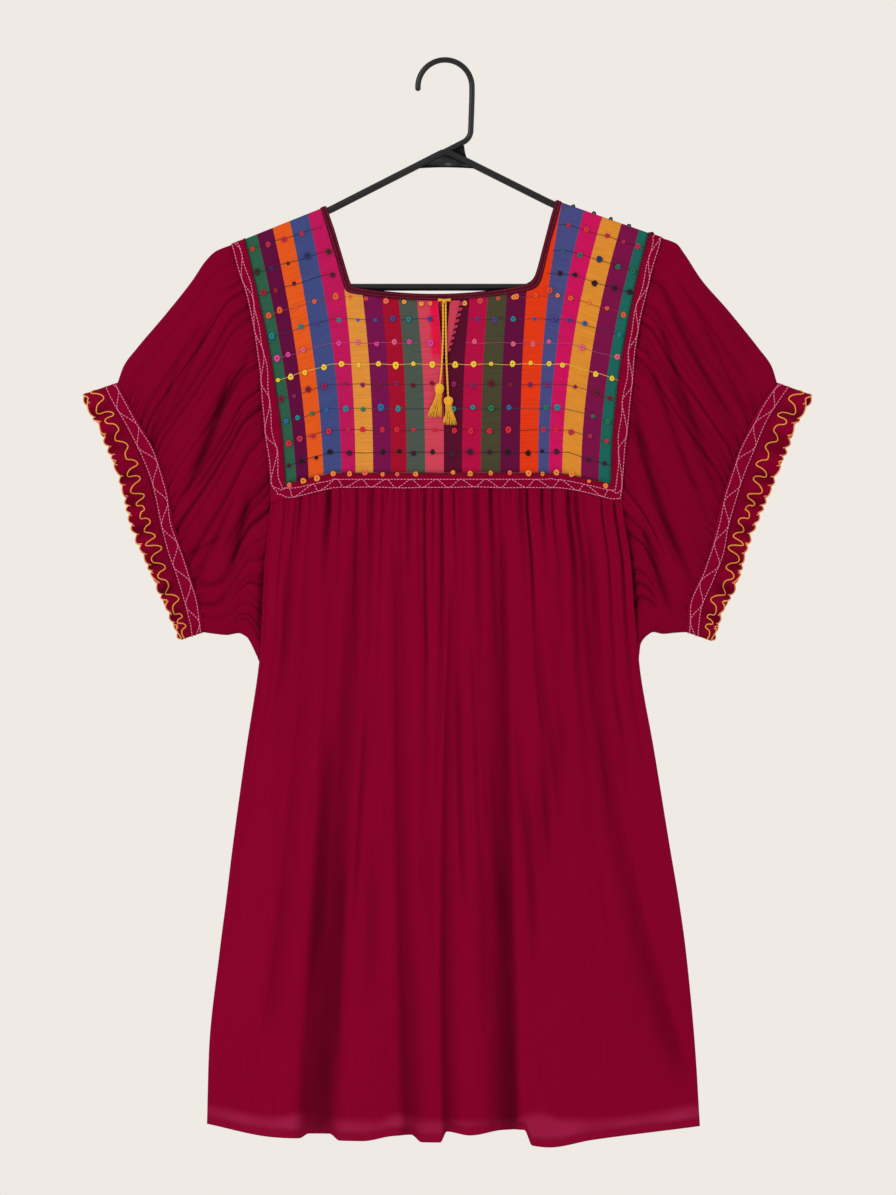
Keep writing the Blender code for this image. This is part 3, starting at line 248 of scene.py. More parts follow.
def gridFaces(rows, columns, closed=False, skip=None):
    # quads of a grid, row by row; closed joins the last column to the first; skip is a mask of left-out quads
    last = columns if closed else columns - 1
    i, j = np.meshgrid(np.arange(rows - 1), np.arange(last), indexing="ij")
    if skip is not None:
        i, j = i[~skip[:, :last]], j[~skip[:, :last]]
    i, j = i.ravel(), j.ravel()
    k = (j + 1) % columns
    corners = [i * columns + j, (i + 1) * columns + j, (i + 1) * columns + k, i * columns + k]
    return np.stack(corners, axis=1), i, j


def clothShell(name, grid, uvGrid, look, slot, thickness, nodes=(), closed=False, skip=None, values=None):
    # a sheet of cloth: the grid's surface thickened to both sides; a closed one has one more column in uvGrid
    rows, columns = grid.shape[:2]
    faces, i, j = gridFaces(rows, columns, closed, skip)
    uv = np.stack([uvGrid[i, j], uvGrid[i + 1, j], uvGrid[i + 1, j + 1], uvGrid[i, j + 1]], axis=1)
    points = grid.reshape(-1, 3)
    a, b, c = points[faces[:, 0]], points[faces[:, 1]], points[faces[:, 2]]
    facing = np.sum(np.cross(b - a, c - a)[:, 1] * np.sign(a[:, 1] + 1e-9))  # away from the middle plane
    if facing < 0:
        faces, uv = faces[:, ::-1], uv[:, ::-1]
    piece = makePiece(name, points, [faces], look, slot, nodes, uv, values)
    wall = piece.modifiers.new("thickness", "SOLIDIFY")
    wall.thickness = thickness
    wall.offset = 0.0
    wall.use_even_offset = False
    return piece


def tubes(paths, radius, sides, normals=None, closed=False):
    # n tubes at once: paths (n, m, 3), radius a number or (n, m); a ring of sides round each point
    paths = np.asarray(paths, float)
    count, length = paths.shape[:2]
    if closed:
        along = np.roll(paths, -1, axis=1) - np.roll(paths, 1, axis=1)
    else:
        along = np.gradient(paths, axis=1)
    along = unit(along)
    up = np.broadcast_to(np.array((0.0, -1.0, 0.0)) if normals is None else normals, paths.shape)
    across = unit(np.cross(along, up))
    up = np.cross(across, along)
    turn = np.arange(sides) * tau / sides
    ring = across[:, :, None] * np.cos(turn)[:, None] + up[:, :, None] * np.sin(turn)[:, None]
    radius = np.broadcast_to(np.asarray(radius, float), (count, length))
    points = paths[:, :, None] + ring * radius[:, :, None, None]
    n, i, j = np.meshgrid(np.arange(count), np.arange(length if closed else length - 1), np.arange(sides),
                          indexing="ij")
    n, i, j = n.ravel(), i.ravel(), j.ravel()
    here, there, m = (n * length + i) * sides, (n * length + (i + 1) % length) * sides, (j + 1) % sides
    faces = [np.stack([here + j, here + m, there + m, there + j], axis=1)]
    if not closed:
        first = np.arange(count)[:, None] * length * sides + np.arange(sides)[None]
        faces += [first[:, ::-1], first + (length - 1) * sides]
    return points.reshape(-1, 3), outward(points.reshape(-1, 3), faces)


def merged(parts):  # several (points, faces) as one mesh
    points, faces, start = [], [], 0
    for somePoints, someFaces in parts:
        points.append(somePoints)
        faces += [group + start for group in someFaces]
        start += len(somePoints)
    return np.concatenate(points), faces


def stitchTubes(low, high, look, seed=1):
    # running stitches along a dense path: each sinks at its ends (low) and is proud in its middle (high)
    run = lengthAlong(low)
    starts = np.arange(0, run[-1] - look["length"], look["pitch"])
    starts = starts + np.random.default_rng(seed).uniform(-look["wander"], look["wander"], len(starts))
    at = starts[:, None] + np.array([0.0, 0.3, 0.7, 1.0])[None] * look["length"]
    pick = [np.stack([np.interp(at, run, path[:, k]) for k in range(3)], axis=-1) for path in (low, high)]
    lift = np.array([0.0, 1.0, 1.0, 0.0])[None, :, None]
    paths = pick[0] * (1 - lift) + pick[1] * lift
    return tubes(paths, look["radius"] * np.array([0.55, 1.0, 1.0, 0.55])[None], 4)


# Materials


def linear(code):  # a hex colour as linear light
    parts = np.array([int(code[k:k + 2], 16) for k in (0, 2, 4)]) / 255
    return tuple(np.where(parts <= 0.04045, parts / 12.92, ((parts + 0.055) / 1.055) ** 2.4).tolist())


def newMaterial(name):  # a material with its node tree and its main shader
    made = bpy.data.materials.new(name)
    made.use_nodes = True
    tree = made.node_tree
    return made, tree, tree.nodes["Principled BSDF"]


def plug(tree, made, inputs):  # each input takes a link from a socket, or a value
    for key, value in inputs.items():
        if isinstance(value, bpy.types.NodeSocket):
            tree.links.new(value, made.inputs[key])
        else:
            made.inputs[key].default_value = value


def node(tree, kind, inputs=None, **props):
    made = tree.nodes.new(kind)
    for key, value in props.items():
        setattr(made, key, value)
    plug(tree, made, inputs or {})
    return made


def opaque(colour):
    return colour if isinstance(colour, bpy.types.NodeSocket) else (*colour, 1.0)


def maths(tree, operation, a, b=0.0, clamped=False):  # one sum of two sockets or numbers
    return node(tree, "ShaderNodeMath", {0: a, 1: b}, operation=operation, use_clamp=clamped).outputs[0]


def added(tree, a, b):
    return maths(tree, "ADD", a, b)


def times(tree, a, b, clamped=False):
    return maths(tree, "MULTIPLY", a, b, clamped)


def above(tree, value, start, gain):  # (value - start) * gain, held between 0 and 1
    return times(tree, maths(tree, "SUBTRACT", value, start), gain, True)


def mixed(tree, share, a, b, kind="MIX"):  # a * (1 - share) + b * share, or b multiplied in
    return node(tree, "ShaderNodeMix", {0: share, 6: opaque(a), 7: opaque(b)}, data_type="RGBA",
                blend_type=kind).outputs[2]


def attributeOf(tree, name, output="Fac"):
    return node(tree, "ShaderNodeAttribute", attribute_name=name).outputs[output]


def onCloth(tree):  # places on the flat cloth, in metres
    return node(tree, "ShaderNodeUVMap", uv_map="cloth").outputs[0]


def onObject(tree):
    return node(tree, "ShaderNodeTexCoord").outputs["Object"]


def noiseOf(tree, place, scale, detail=2.0, rough=0.5):  # noise with a scale for each direction
    stretched = node(tree, "ShaderNodeMapping", {"Vector": place, "Scale": scale})
    return node(tree, "ShaderNodeTexNoise", {"Vector": stretched.outputs[0], "Scale": 1.0, "Detail": detail,
                                             "Roughness": rough}).outputs[0]


def bumpOf(tree, height, strength, distance):
    sizes = {"Height": height, "Strength": strength, "Distance": distance}
    return node(tree, "ShaderNodeBump", sizes).outputs[0]


def weaveOf(tree, place, perMetre):  # warp and weft: the higher of two sine ribs at each place
    ribs = [node(tree, "ShaderNodeTexWave", {"Vector": place, "Scale": perMetre / 20},
                 bands_direction=axis).outputs[1] for axis in ("X", "Y")]
    return maths(tree, "MAXIMUM", *ribs)


# paintedShade is the strength of the painted shade in the folds; deep serves both the grain's darker threads and
# that painted shade; light is painted light
gauzeLook = {
    "base": "840029", "deep": "36000E", "light": "A0204A", "roughness": 0.88, "sheen": 0.02, "sheenRough": 0.5,
    "sheenTint": "E0608A", "specular": 0.03, "streakAcross": 700.0, "streakDown": 22.0, "weave": 1500.0,
    "bump": 0.30, "grain": 0.22, "paintedShade": 0.62,
}


def gauzeMaterial(name, look):  # dull rayon gauze: streaks down the cloth, slubs across it, painted shade in its folds and painted light where it is one sheer layer
    made, tree, shader = newMaterial(name)
    place = onCloth(tree)
    streaks = noiseOf(tree, place, (look["streakAcross"], look["streakDown"], 1.0), 3.0, 0.6)
    slubs = noiseOf(tree, place, (30.0, 900.0, 1.0))
    patches = noiseOf(tree, onObject(tree), (14.0, 14.0, 9.0))
    grain = added(tree, times(tree, streaks, 0.5), times(tree, slubs, 0.25))
    grain = added(tree, grain, times(tree, patches, 0.25))
    base, deep = linear(look["base"]), linear(look["deep"])
    colour = mixed(tree, above(tree, grain, 0.42, 3.2 * look["grain"]), base, deep)
    # painted shade: the colour mixed towards deep where the paintedShade attribute marks creases and folds
    colour = mixed(tree, times(tree, attributeOf(tree, "paintedShade"), look["paintedShade"], True), colour, deep)
    height = added(tree, times(tree, streaks, 0.8), times(tree, weaveOf(tree, place, look["weave"]), 0.35))
    plug(tree, shader, {
        # painted light: the colour lightens towards light where the thin attribute marks a single sheer layer
        "Base Color": mixed(tree, attributeOf(tree, "thin"), colour, linear(look["light"])),
        "Roughness": added(tree, times(tree, streaks, 0.16), look["roughness"] - 0.08),
        "Normal": bumpOf(tree, height, look["bump"], 0.0006),
        "Sheen Weight": look["sheen"], "Sheen Roughness": look["sheenRough"],
        "Sheen Tint": opaque(linear(look["sheenTint"])), "Specular IOR Level": look["specular"],
    })
    return made


# from the left: green, plum, orange, blue, pink, gold, purple, crimson, slate, coral, maroon, magenta, olive,
# wine, flame, ink, rose, amber, violet and teal; top and bottom are the x of their borders on the shoulder
# and at the yoke's bottom, bend is the power between them
stripesLook = {
    "colours": ["2A5E46", "5E083A", "E2581A", "3E4A80", "BC1458", "DD9038", "740F4B", "A20A2A", "49554B",
                "CE4258", "540A29", "B20A40", "46442E", "600A3A", "E2380F", "464A82", "CA105A", "DD8D2E",
                "780F46", "18665A"],
    "top": [-0.1785, -0.1675, -0.1538, -0.1388, -0.1237, -0.1000, -0.0860, -0.0680, -0.0510, -0.0350,
            -0.0055, 0.0290, 0.0450, 0.0620, 0.0790, 0.1040, 0.1240, 0.1397, 0.1566, 0.1723, 0.1818],
    "bottom": [-0.1416, -0.1315, -0.1209, -0.1083, -0.0924, -0.0792, -0.0638, -0.0483, -0.0346, -0.0186,
               -0.0009, 0.0148, 0.0313, 0.0482, 0.0652, 0.0828, 0.0918, 0.1032, 0.1196, 0.1354, 0.1473],
    "bend": [1.5, 1.5, 1.55, 1.6, 1.75, 1.9, 2, 2, 2, 2, 2, 2, 2, 2, 2, 2, 1.95, 1.9, 1.85, 1.8, 1.8],
    "ragged": 0.05, "bright": "E01242", "roughness": 0.85, "bump": 0.7, "weave": 700.0, "specular": 0.06,
}


def stripesMaterial(name, look):  # hand-woven stripes: a colour step for each, ragged by a thread at its edges
    made, tree, shader = newMaterial(name)
    place = onCloth(tree)
    count = len(look["colours"])
    frayed = maths(tree, "SUBTRACT", noiseOf(tree, place, (60.0, 1400.0, 1.0), 1.0), 0.5)
    number = added(tree, attributeOf(tree, "stripe"), times(tree, frayed, look["ragged"]))
    ramp = node(tree, "ShaderNodeValToRGB", {"Fac": maths(tree, "DIVIDE", number, count)})
    ramp.color_ramp.interpolation = "CONSTANT"
    steps = ramp.color_ramp.elements
    for i, code in enumerate(look["colours"]):
        step = steps[i] if i < 2 else steps.new(i / count)
        step.position = i / count
        step.color = opaque(linear(code))
    colour = mixed(tree, attributeOf(tree, "bright"), ramp.outputs[0], linear(look["bright"]))
    weft = noiseOf(tree, place, (35.0, 1100.0, 1.0), 2.0, 0.6)
    warp = noiseOf(tree, place, (1100.0, 30.0, 1.0), 2.0, 0.6)
    dark, pale = above(tree, weft, 0.36, 1.5), above(tree, warp, 0.52, 1.4)
    colour = mixed(tree, times(tree, dark, 0.45), colour, (0.012, 0.004, 0.012))
    height = added(tree, times(tree, weft, 0.7), times(tree, weaveOf(tree, place, look["weave"]), 0.5))
    plug(tree, shader, {
        "Base Color": mixed(tree, times(tree, pale, 0.30), colour, (0.85, 0.75, 0.70), "MULTIPLY"),
        "Roughness": look["roughness"], "Normal": bumpOf(tree, height, look["bump"], 0.0006),
        "Specular IOR Level": look["specular"],
    })
    return made


def threadMaterial(name, code=None, roughness=0.7, twist=2600.0, sheen=0.08):
    # spun thread: fine ribs across it and a soft sheen; without a code its colour is the piece's own attribute
    made, tree, shader = newMaterial(name)
    fibres = noiseOf(tree, onObject(tree), (twist, twist, twist * 0.7), 2.0, 0.6)
    base = linear(code) if code else attributeOf(tree, "thread", "Color")
    plug(tree, shader, {
        "Base Color": mixed(tree, above(tree, fibres, 0.35, 1.1), base, (0.55, 0.50, 0.50), "MULTIPLY"),
        "Roughness": roughness, "Normal": bumpOf(tree, fibres, 0.5, 0.0002), "Sheen Weight": sheen,
        "Specular IOR Level": 0.15,
    })
    return made


def plasticMaterial(name):  # moulded black plastic: a faint orange-peel and softer gloss where it is handled
    made, tree, shader = newMaterial(name)
    solid = onObject(tree)
    peel = noiseOf(tree, solid, (900.0, 900.0, 900.0))
    worn = noiseOf(tree, solid, (40.0, 40.0, 60.0), 3.0, 0.6)
    plug(tree, shader, {
        "Base Color": mixed(tree, worn, (0.0045, 0.0045, 0.005), (0.009, 0.009, 0.010)),
        "Roughness": added(tree, times(tree, worn, 0.14), 0.20), "Normal": bumpOf(tree, peel, 0.12, 0.0002),
        "Specular IOR Level": 0.32,
    })
    return made


gauze = gauzeMaterial("burgundyGauze", gauzeLook)
stripes = stripesMaterial("handwovenStripes", stripesLook)
bindingCloth = gauzeMaterial("maroonBinding", {
    **gauzeLook, "base": "520E22", "deep": "2A0512", "light": "6A1A30", "weave": 1100.0, "bump": 0.6,
    "grain": 0.6, "streakAcross": 260.0, "streakDown": 900.0})
pinkThread = threadMaterial("pinkThread", "EE86A8")
knotThread = threadMaterial("knotThread")
goldThread = threadMaterial("goldThread", "F0A83C")
edgeThread = threadMaterial("edgeThread", "F29A52")
coralThread = threadMaterial("coralThread", "C63A55")
tieThread = threadMaterial("yellowThread", "EBAA14", 0.6, 2200.0, 0.35)
hemThread = threadMaterial("hemThread", "6A0524")
bindingThread = threadMaterial("bindingThread", "8A3040")
print("materials made")

# Yoke, band and binding: ribbons along q, 0 to 1 down the left side, 1 to 2 below, 2 to 3 up the right side


def downSide(f, total):  # length of cloth at the share f of a side, its first rows close round the arm
    share = yokeLook["roundShare"]
    near = yokeLook["roundEnd"] * f / share
    far = yokeLook["roundEnd"] + (total - yokeLook["roundEnd"]) * (f - share) / (1 - share)
    return np.where(f < share, near, far)


def partsOf(q):  # the share down a side, the share out along the bottom, and the side that q is on
    q = np.asarray(q, float)
    onLeft = q < 1.5
    along = np.where(onLeft, q, 3 - q)
    return np.clip(along, 0, 1), np.clip(3 - 2 * along, 0, 1), onLeft


def sided(pair, onLeft):  # the left or the right one of two values
    return np.where(onLeft, pair[0], pair[1])


def neckLine(q, inset, raised):  # a superellipse (across)^p + (down)^p = 1, wider at its top, sagging below
    f, g, onLeft = partsOf(q)
    power = sided(yokeLook["neckPower"], onLeft)
    drop = yokeLook["neckDrop"] - inset - raised
    corner = 0.5 ** (1 / power)
    down = np.where(f < 1, downSide(f, corner * drop) / drop, 0)
    out = np.where(f < 1, (1 - down ** power) ** (1 / power), corner * g)
    down = np.where(f < 1, down, (1 - out ** power) ** (1 / power))
    top, bottom = sided(yokeLook["neckTop"], onLeft) - inset, sided(yokeLook["neckBottom"], onLeft) - inset
    x = yokeLook["slitX"] + np.where(onLeft, -1, 1) * out * (top + (bottom - top) * down)
    return x, down * (drop - yokeLook["neckSag"] * out ** 2)


def yokeBottom(x):  # level in the middle, dipping at the corners
    past = (np.abs(x - yokeLook["middleX"]) - yokeLook["levelHalf"]) / yokeLook["dipWidth"]
    return yokeLook["bottomZ"] - yokeLook["cornerDip"] * np.clip(past, 0, 2) ** yokeLook["dipPower"]


def yokeLine(q):  # its sides are low + (top - low) * (1 - s / total)^bend, its bottom runs across
    f, g, onLeft = partsOf(q)
    low, top = sided(yokeLook["bottom"], onLeft), sided(yokeLook["top"], onLeft)
    total = lengthTo(low, yokeBottom(low))
    s = downSide(f, total)
    x = low + (top - low) * (1 - s / total) ** sided(yokeLook["bend"], onLeft)
    below = yokeLook["slitX"] + (low - yokeLook["slitX"]) * g
    return np.where(f < 1, x, below), np.where(f < 1, s, lengthTo(below, yokeBottom(below)))


def bandLine(q):  # the torso's edge, then the yoke's bottom less the band's width
    f, g, onLeft = partsOf(q)
    corner = sided(yokeLook["cornerX"], onLeft)
    s = downSide(f, lengthTo(corner, yokeBottom(corner) - yokeLook["bandDrop"]))
    edge, _ = torsoEdge(s, onLeft)
    below = yokeLook["slitX"] + (corner - yokeLook["slitX"]) * g
    return (np.where(f < 1, edge, below),
            np.where(f < 1, s, lengthTo(below, yokeBottom(below) - yokeLook["bandDrop"])))


def opened(x, s):  # the slit's edges pushed apart, most at the neck
    below = (s - yokeLook["neckDrop"]) / yokeLook["slitLength"]
    half = yokeLook["slitHalf"] * (1 - below) * (below < 1) * blend(below * 20 + 1.0)
    away = x - yokeLook["slitX"]
    return x + np.sign(away) * half * np.exp(-np.abs(away) / yokeLook["slitEase"])


def ribbonQ(middle=(1.5,)):  # places along a ribbon, close together round the arm, the right side mirrored
    near = np.linspace(0, yokeLook["roundShare"], yokeLook["columnsRound"] + 1)[:-1]
    side = np.concatenate([near, np.linspace(yokeLook["roundShare"], 1, yokeLook["columnsSide"] + 1)[:-1]])
    left = np.concatenate([side, np.linspace(1, 1.5, yokeLook["columnsHalf"] + 1)[:-1]])
    return np.concatenate([left, middle, (3 - left)[::-1]])


def between(inner, outer, share):  # inner * (1 - share) + outer * share
    return inner[0] * (1 - share) + outer[0] * share, inner[1] * (1 - share) + outer[1] * share


def stripeEdges(s):  # the stripes' borders at the length s: bottom + (top - bottom) * (1 - s / total)^bend
    t = np.clip(1 - np.asarray(s, float) / lengthTo(0.0, yokeLook["bottomZ"]), 0, 1)[..., None]
    top, bottom = np.array(stripesLook["top"]), np.array(stripesLook["bottom"])
    return bottom + (top - bottom) * t ** np.array(stripesLook["bend"])


def stripeNumber(x, s):  # which stripe a place is in, with its share across as the decimals
    edges = stripeEdges(np.broadcast_to(s, x.shape))
    i = np.clip(np.sum(edges <= x[..., None], axis=-1) - 1, 0, edges.shape[-1] - 2)
    low = np.take_along_axis(edges, i[..., None], -1)[..., 0]
    high = np.take_along_axis(edges, i[..., None] + 1, -1)[..., 0]
    return i + np.clip((x - low) / (high - low), 0.0, 0.999)


def stripePlace(number, s):  # the x of a stripe number at the length s
    edges = stripeEdges(s)
    return np.interp(number, np.arange(len(edges)), edges)


def yokeDimple(x, s):  # the hand-woven cloth's slight waves
    return 0.0006 * np.sin(x * 46 + 3 * np.sin(s * 21)) * np.sin(s * 33 + 1.0) * blend(s / 0.03)


def makeYoke(side):  # rows between the neck line and the yoke line, opened at the slit and hung
    front = side < 0
    half = yokeLook["slitEndHalf"] / (2 * (yokeLook["slitX"] - yokeLook["bottom"][0]))
    q = ribbonQ((1.5 - half, 1.5 + half) if front else (1.5,))[None]
    slitShare = yokeLook["slitLength"] / (lengthTo(0.0, yokeLook["bottomZ"]) - yokeLook["neckDrop"])
    share = np.concatenate([np.linspace(0, slitShare, yokeLook["rowsSlit"]),
                            np.linspace(slitShare, 1, yokeLook["rowsBelow"])[1:]])[:, None]
    raised = 0 if front else yokeLook["backNeckRaised"]
    x, s = between(neckLine(q, yokeLook["underBinding"], raised), yokeLine(q), share)
    number = stripeNumber(x, s)
    z = shoulder(x) - fallOf(s)
    bright = blend((x + 0.0135) / 0.004) * blend((-0.0015 - x) / 0.002) * blend((z + 0.2700) / 0.014) * front
    skip = None
    if front:
        x = opened(x, s)
        skip = np.zeros((share.size - 1, q.size), bool)
        skip[:yokeLook["rowsSlit"] - 1, int(np.searchsorted(q[0], 1.5)) - 1] = True
    grid = hang(x, s, side, yokeDimple(x, s))
    uv = np.stack([x, s], axis=-1)
    name = "yokeFrontCloth" if front else "yokeBackCloth"
    piece = clothShell(name, grid, uv, stripes, "striped_cloth", yokeLook["thickness"],
                       ("yoke_front",) if front else ("yoke_back",), skip=skip,
                       values={"stripe": number, "bright": bright})


bindingLook = {"width": 0.0052, "half": 0.00095, "columns": 14}
bindingStitch = {"pitch": 0.0021, "length": 0.0015, "radius": 0.00030, "wander": 0.0002}
bandLook = {"rows": 9, "thickness": 0.0008, "proud": 0.0005, "overYoke": 0.0008, "edgeRadius": 0.00042}


def bandPlace(q, share, side, proud=0.0):  # share 0 at the yoke and 1 at the band's outer edge
    x, s = between(yokeLine(q), bandLine(q), share)
    return hang(x, s, side, bandLook["proud"] + proud)


def makeBand(side):  # rows between the yoke line and the band line, both edges rolled in
    front = side < 0
    q = ribbonQ()[None]
    over = bandLook["overYoke"] / yokeLook["bandDrop"]
    share = np.linspace(-over, 1 + over / 2, bandLook["rows"])[:, None]
    rolled = -0.0007 * (blend((share - 0.88) / 0.18) + blend((0.06 - share) / 0.12))
    grid = bandPlace(q, share, side, rolled)
    uv = np.stack(np.broadcast_arrays(q * 0.26, share * yokeLook["bandDrop"]), axis=-1)
    piece = clothShell("bandFrontCloth" if front else "bandBackCloth", grid, uv, gauze, "body_cloth",
                       bandLook["thickness"], ("band_front",) if front else ("band_back",))


def makeBinding(side):  # a rounded strip: a flat oval carried along the neck edge
    front = side < 0
    raised = 0 if front else yokeLook["backNeckRaised"]
    q = ribbonQ()
    outer = hang(*neckLine(q, 0, raised), side, 0.0003)
    inner = hang(*neckLine(q, bindingLook["width"], raised), side, 0.0003)
    middle, across = (outer + inner) / 2, (outer - inner) / 2
    away = unit(np.cross(across, np.gradient(middle, axis=0)))
    away *= np.sign(np.sum(away * (0, side, 0), axis=1) + 1e-9)[:, None]
    away[[0, -1]] = unit(away[[1, -2]] * (0, 0, 1) + (0, 0, 1e-6))
    turn = np.arange(bindingLook["columns"]) * tau / bindingLook["columns"]
    bulge = np.sign(np.sin(turn)) * np.abs(np.sin(turn)) ** 0.8
    points = (middle[:, None] + across[:, None] * np.cos(turn)[None, :, None]
              + away[:, None] * bulge[None, :, None] * bindingLook["half"])
    rows, columns = points.shape[:2]
    faces, i, j = gridFaces(rows, columns, True)
    caps = [np.arange(columns)[None, ::-1], np.arange(columns)[None] + (rows - 1) * columns]
    run = lengthAlong(middle)
    uv = [np.stack([run[i + a], (j + b) * 0.0009], axis=-1) for a, b in ((0, 0), (1, 0), (1, 1), (0, 1))]
    uv = np.stack(uv, axis=1).reshape(-1, 2)
    capUv = np.zeros((2 * columns, 2))
    flat = points.reshape(-1, 3)
    turned = outward(flat, [faces] + caps)
    if turned[0][0, 0] != faces[0, 0]:
        uv = uv.reshape(-1, 4, 2)[:, ::-1].reshape(-1, 2)
    piece = makePiece("neckBindingFront" if front else "neckBindingBack", flat, turned, bindingCloth,
                      "binding_cloth", ("neck_binding_front",) if front else ("neck_binding_back",),
                      np.concatenate([uv, capUv]))


def surfaceNormal(x, s, side):  # from the cloth's own differences
    step = 0.0005
    across = hang(x + step, s, side) - hang(x - step, s, side)
    down = hang(x, s + step, side) - hang(x, np.maximum(s - step, 0), side)
    normal = unit(np.cross(across, down))
    front = np.sign(np.sum(normal * hang(x, s, side) * (0, 1, 0), axis=-1) + 1e-12)[..., None]
    return normal * front


def makeEdgeThreads(side):
    # a dark overcast thread along the yoke's outer edge, its dark colour partly the seam's own and partly
    # painted shade along the band's folded edge, and two lines of stitches on the binding
    name = "Front" if side < 0 else "Back"
    q = np.linspace(0.02, 2.98, 700)
    x, s = yokeLine(q)
    wave = 0.0004 * np.sin(q * 430)
    line = hang(x + wave, s, side, bandLook["proud"] + 0.0006)
    made = tubes(line[None], bandLook["edgeRadius"], 5, surfaceNormal(x, s, side)[None])
    makePiece("yokeEdge" + name, *made, threadMaterial("maroonThread" + name, "4E0A1E"), "edging_thread")
    raised = 0 if side < 0 else yokeLook["backNeckRaised"]
    parts = []
    for share, seed in ((0.28, 81), (0.80, 82)):
        x, s = neckLine(q, bindingLook["width"] * share, raised)
        normal = surfaceNormal(x, np.maximum(s, 0.0006), side)
        place = hang(x, s, side, 0.0003)
        crown = bindingLook["half"] * math.sqrt(1 - (2 * share - 1) ** 2) * 0.95
        low, high = place + normal * (crown - 0.0003), place + normal * (crown + 0.0003)
        parts.append(stitchTubes(low, high, bindingStitch, seed))
    makePiece("bindingStitches" + name, *merged(parts), bindingThread, "edging_thread")


for side in (-1, 1):
    makeYoke(side)
    makeBand(side)
    makeBinding(side)
    makeEdgeThreads(side)
print("yoke, bands and bindings made")

# Body: gathers under the band, large folds from the tables, and fine creases

bodyLook = {
    "columnsFront": 420, "columnsBack": 330, "rowsTop": 30, "rowsFront": 48, "rowsBack": 32, "rowsHem": 16,
    "topZone": 0.16, "hemZone": 0.945, "length": 0.57, "tuck": 0.0035, "hemWidth": 0.0075, "thickness": 0.0006,
    "gathersFront": 36, "gathersBack": 34, "gatherDepth": 0.0030, "fadeLow": 0.050, "fadeHigh": 0.300,
    "tinyGathers": 78, "tinyDepth": 0.0012, "tinyReach": (0.02, 0.06), "creases": 34, "creaseDepth": 0.0030,
}
# each fold's line through three heights, where it starts and ends, how wide it is at its top and hem, how deep,
# and how far it leans: above 0 it is steep on its left and soft on its right
foldLevels = (-0.40, -0.67, -0.95)
frontFolds = {
    "xTop": [-0.1295, -0.1175, -0.0972, -0.0727, -0.0425, -0.0186, 0.0105, 0.0503, 0.1030, 0.1285],
    "xMid": [-0.1570, -0.1340, -0.1085, -0.0925, -0.0385, -0.0180, 0.0010, 0.0540, 0.1040, 0.1520],
    "xHem": [-0.1800, -0.1700, -0.1245, -0.1080, -0.0310, -0.0240, 0.0020, 0.0600, 0.1100, 0.2300],
    "start": [-0.40, -0.41, -0.41, -0.39, -0.40, -0.43, -0.44, -0.39, -0.39, -0.40],
    "end": [-0.60, -0.88, -0.99, -0.99, -0.99, -0.78, -0.99, -0.99, -0.68, -0.93],
    "halfTop": [0.006, 0.006, 0.005, 0.007, 0.005, 0.004, 0.004, 0.007, 0.006, 0.006],
    "halfHem": [0.008, 0.009, 0.008, 0.014, 0.010, 0.006, 0.007, 0.013, 0.009, 0.011],
    "depth": [0.004, 0.006, 0.006, 0.013, 0.009, 0.004, 0.008, 0.013, 0.005, 0.008],
    "lean": [0.0, 0.2, 0.1, -0.1, 0.3, 0.0, 0.55, -0.55, -0.2, -0.3],
}
backFolds = {
    "xTop": [-0.1220, -0.0850, -0.0560, -0.0240, 0.0160, 0.0580, 0.0920, 0.1260],
    "xMid": [-0.1430, -0.0980, -0.0520, -0.0330, 0.0210, 0.0690, 0.1060, 0.1450],
    "xHem": [-0.1760, -0.1230, -0.0610, -0.0400, 0.0130, 0.0840, 0.1210, 0.1850],
    "start": [-0.41, -0.40, -0.42, -0.40, -0.42, -0.40, -0.42, -0.40],
    "end": [-0.93, -0.99, -0.70, -0.99, -0.99, -0.99, -0.76, -0.95],
    "halfTop": [0.006, 0.006, 0.005, 0.006, 0.005, 0.007, 0.005, 0.006],
    "halfHem": [0.010, 0.012, 0.008, 0.012, 0.009, 0.013, 0.008, 0.011],
    "depth": [0.007, 0.011, 0.005, 0.010, 0.007, 0.012, 0.005, 0.008],
    "lean": [0.2, -0.4, 0.1, 0.5, -0.2, 0.4, 0.1, -0.3],
}
# the hems' heights along x: the front has steps where its folds end
frontHem = {
    "x": [-0.2112, -0.150, -0.129, -0.120, -0.102, -0.093, -0.073, -0.046, -0.0300, -0.0205,
          -0.0045, 0.0015, 0.022, 0.050, 0.0700, 0.0765, 0.092, 0.130, 0.2262],
    "z": [-0.9420, -0.9528, -0.9535, -0.9494, -0.9494, -0.9550, -0.9552, -0.9506, -0.9498, -0.9562,
          -0.9562, -0.9470, -0.9500, -0.9458, -0.9452, -0.9590, -0.9608, -0.9545, -0.9440],
}
backHem = {
    "x": [-0.2112, -0.150, -0.120, -0.090, -0.060, -0.040, -0.020, 0.020, 0.062, 0.084, 0.106, 0.150, 0.2262],
    "z": [-0.9250, -0.9345, -0.9308, -0.9362, -0.9365, -0.9310, -0.9368, -0.9370, -0.9362, -0.9300,
          -0.9360, -0.9350, -0.9250],
}


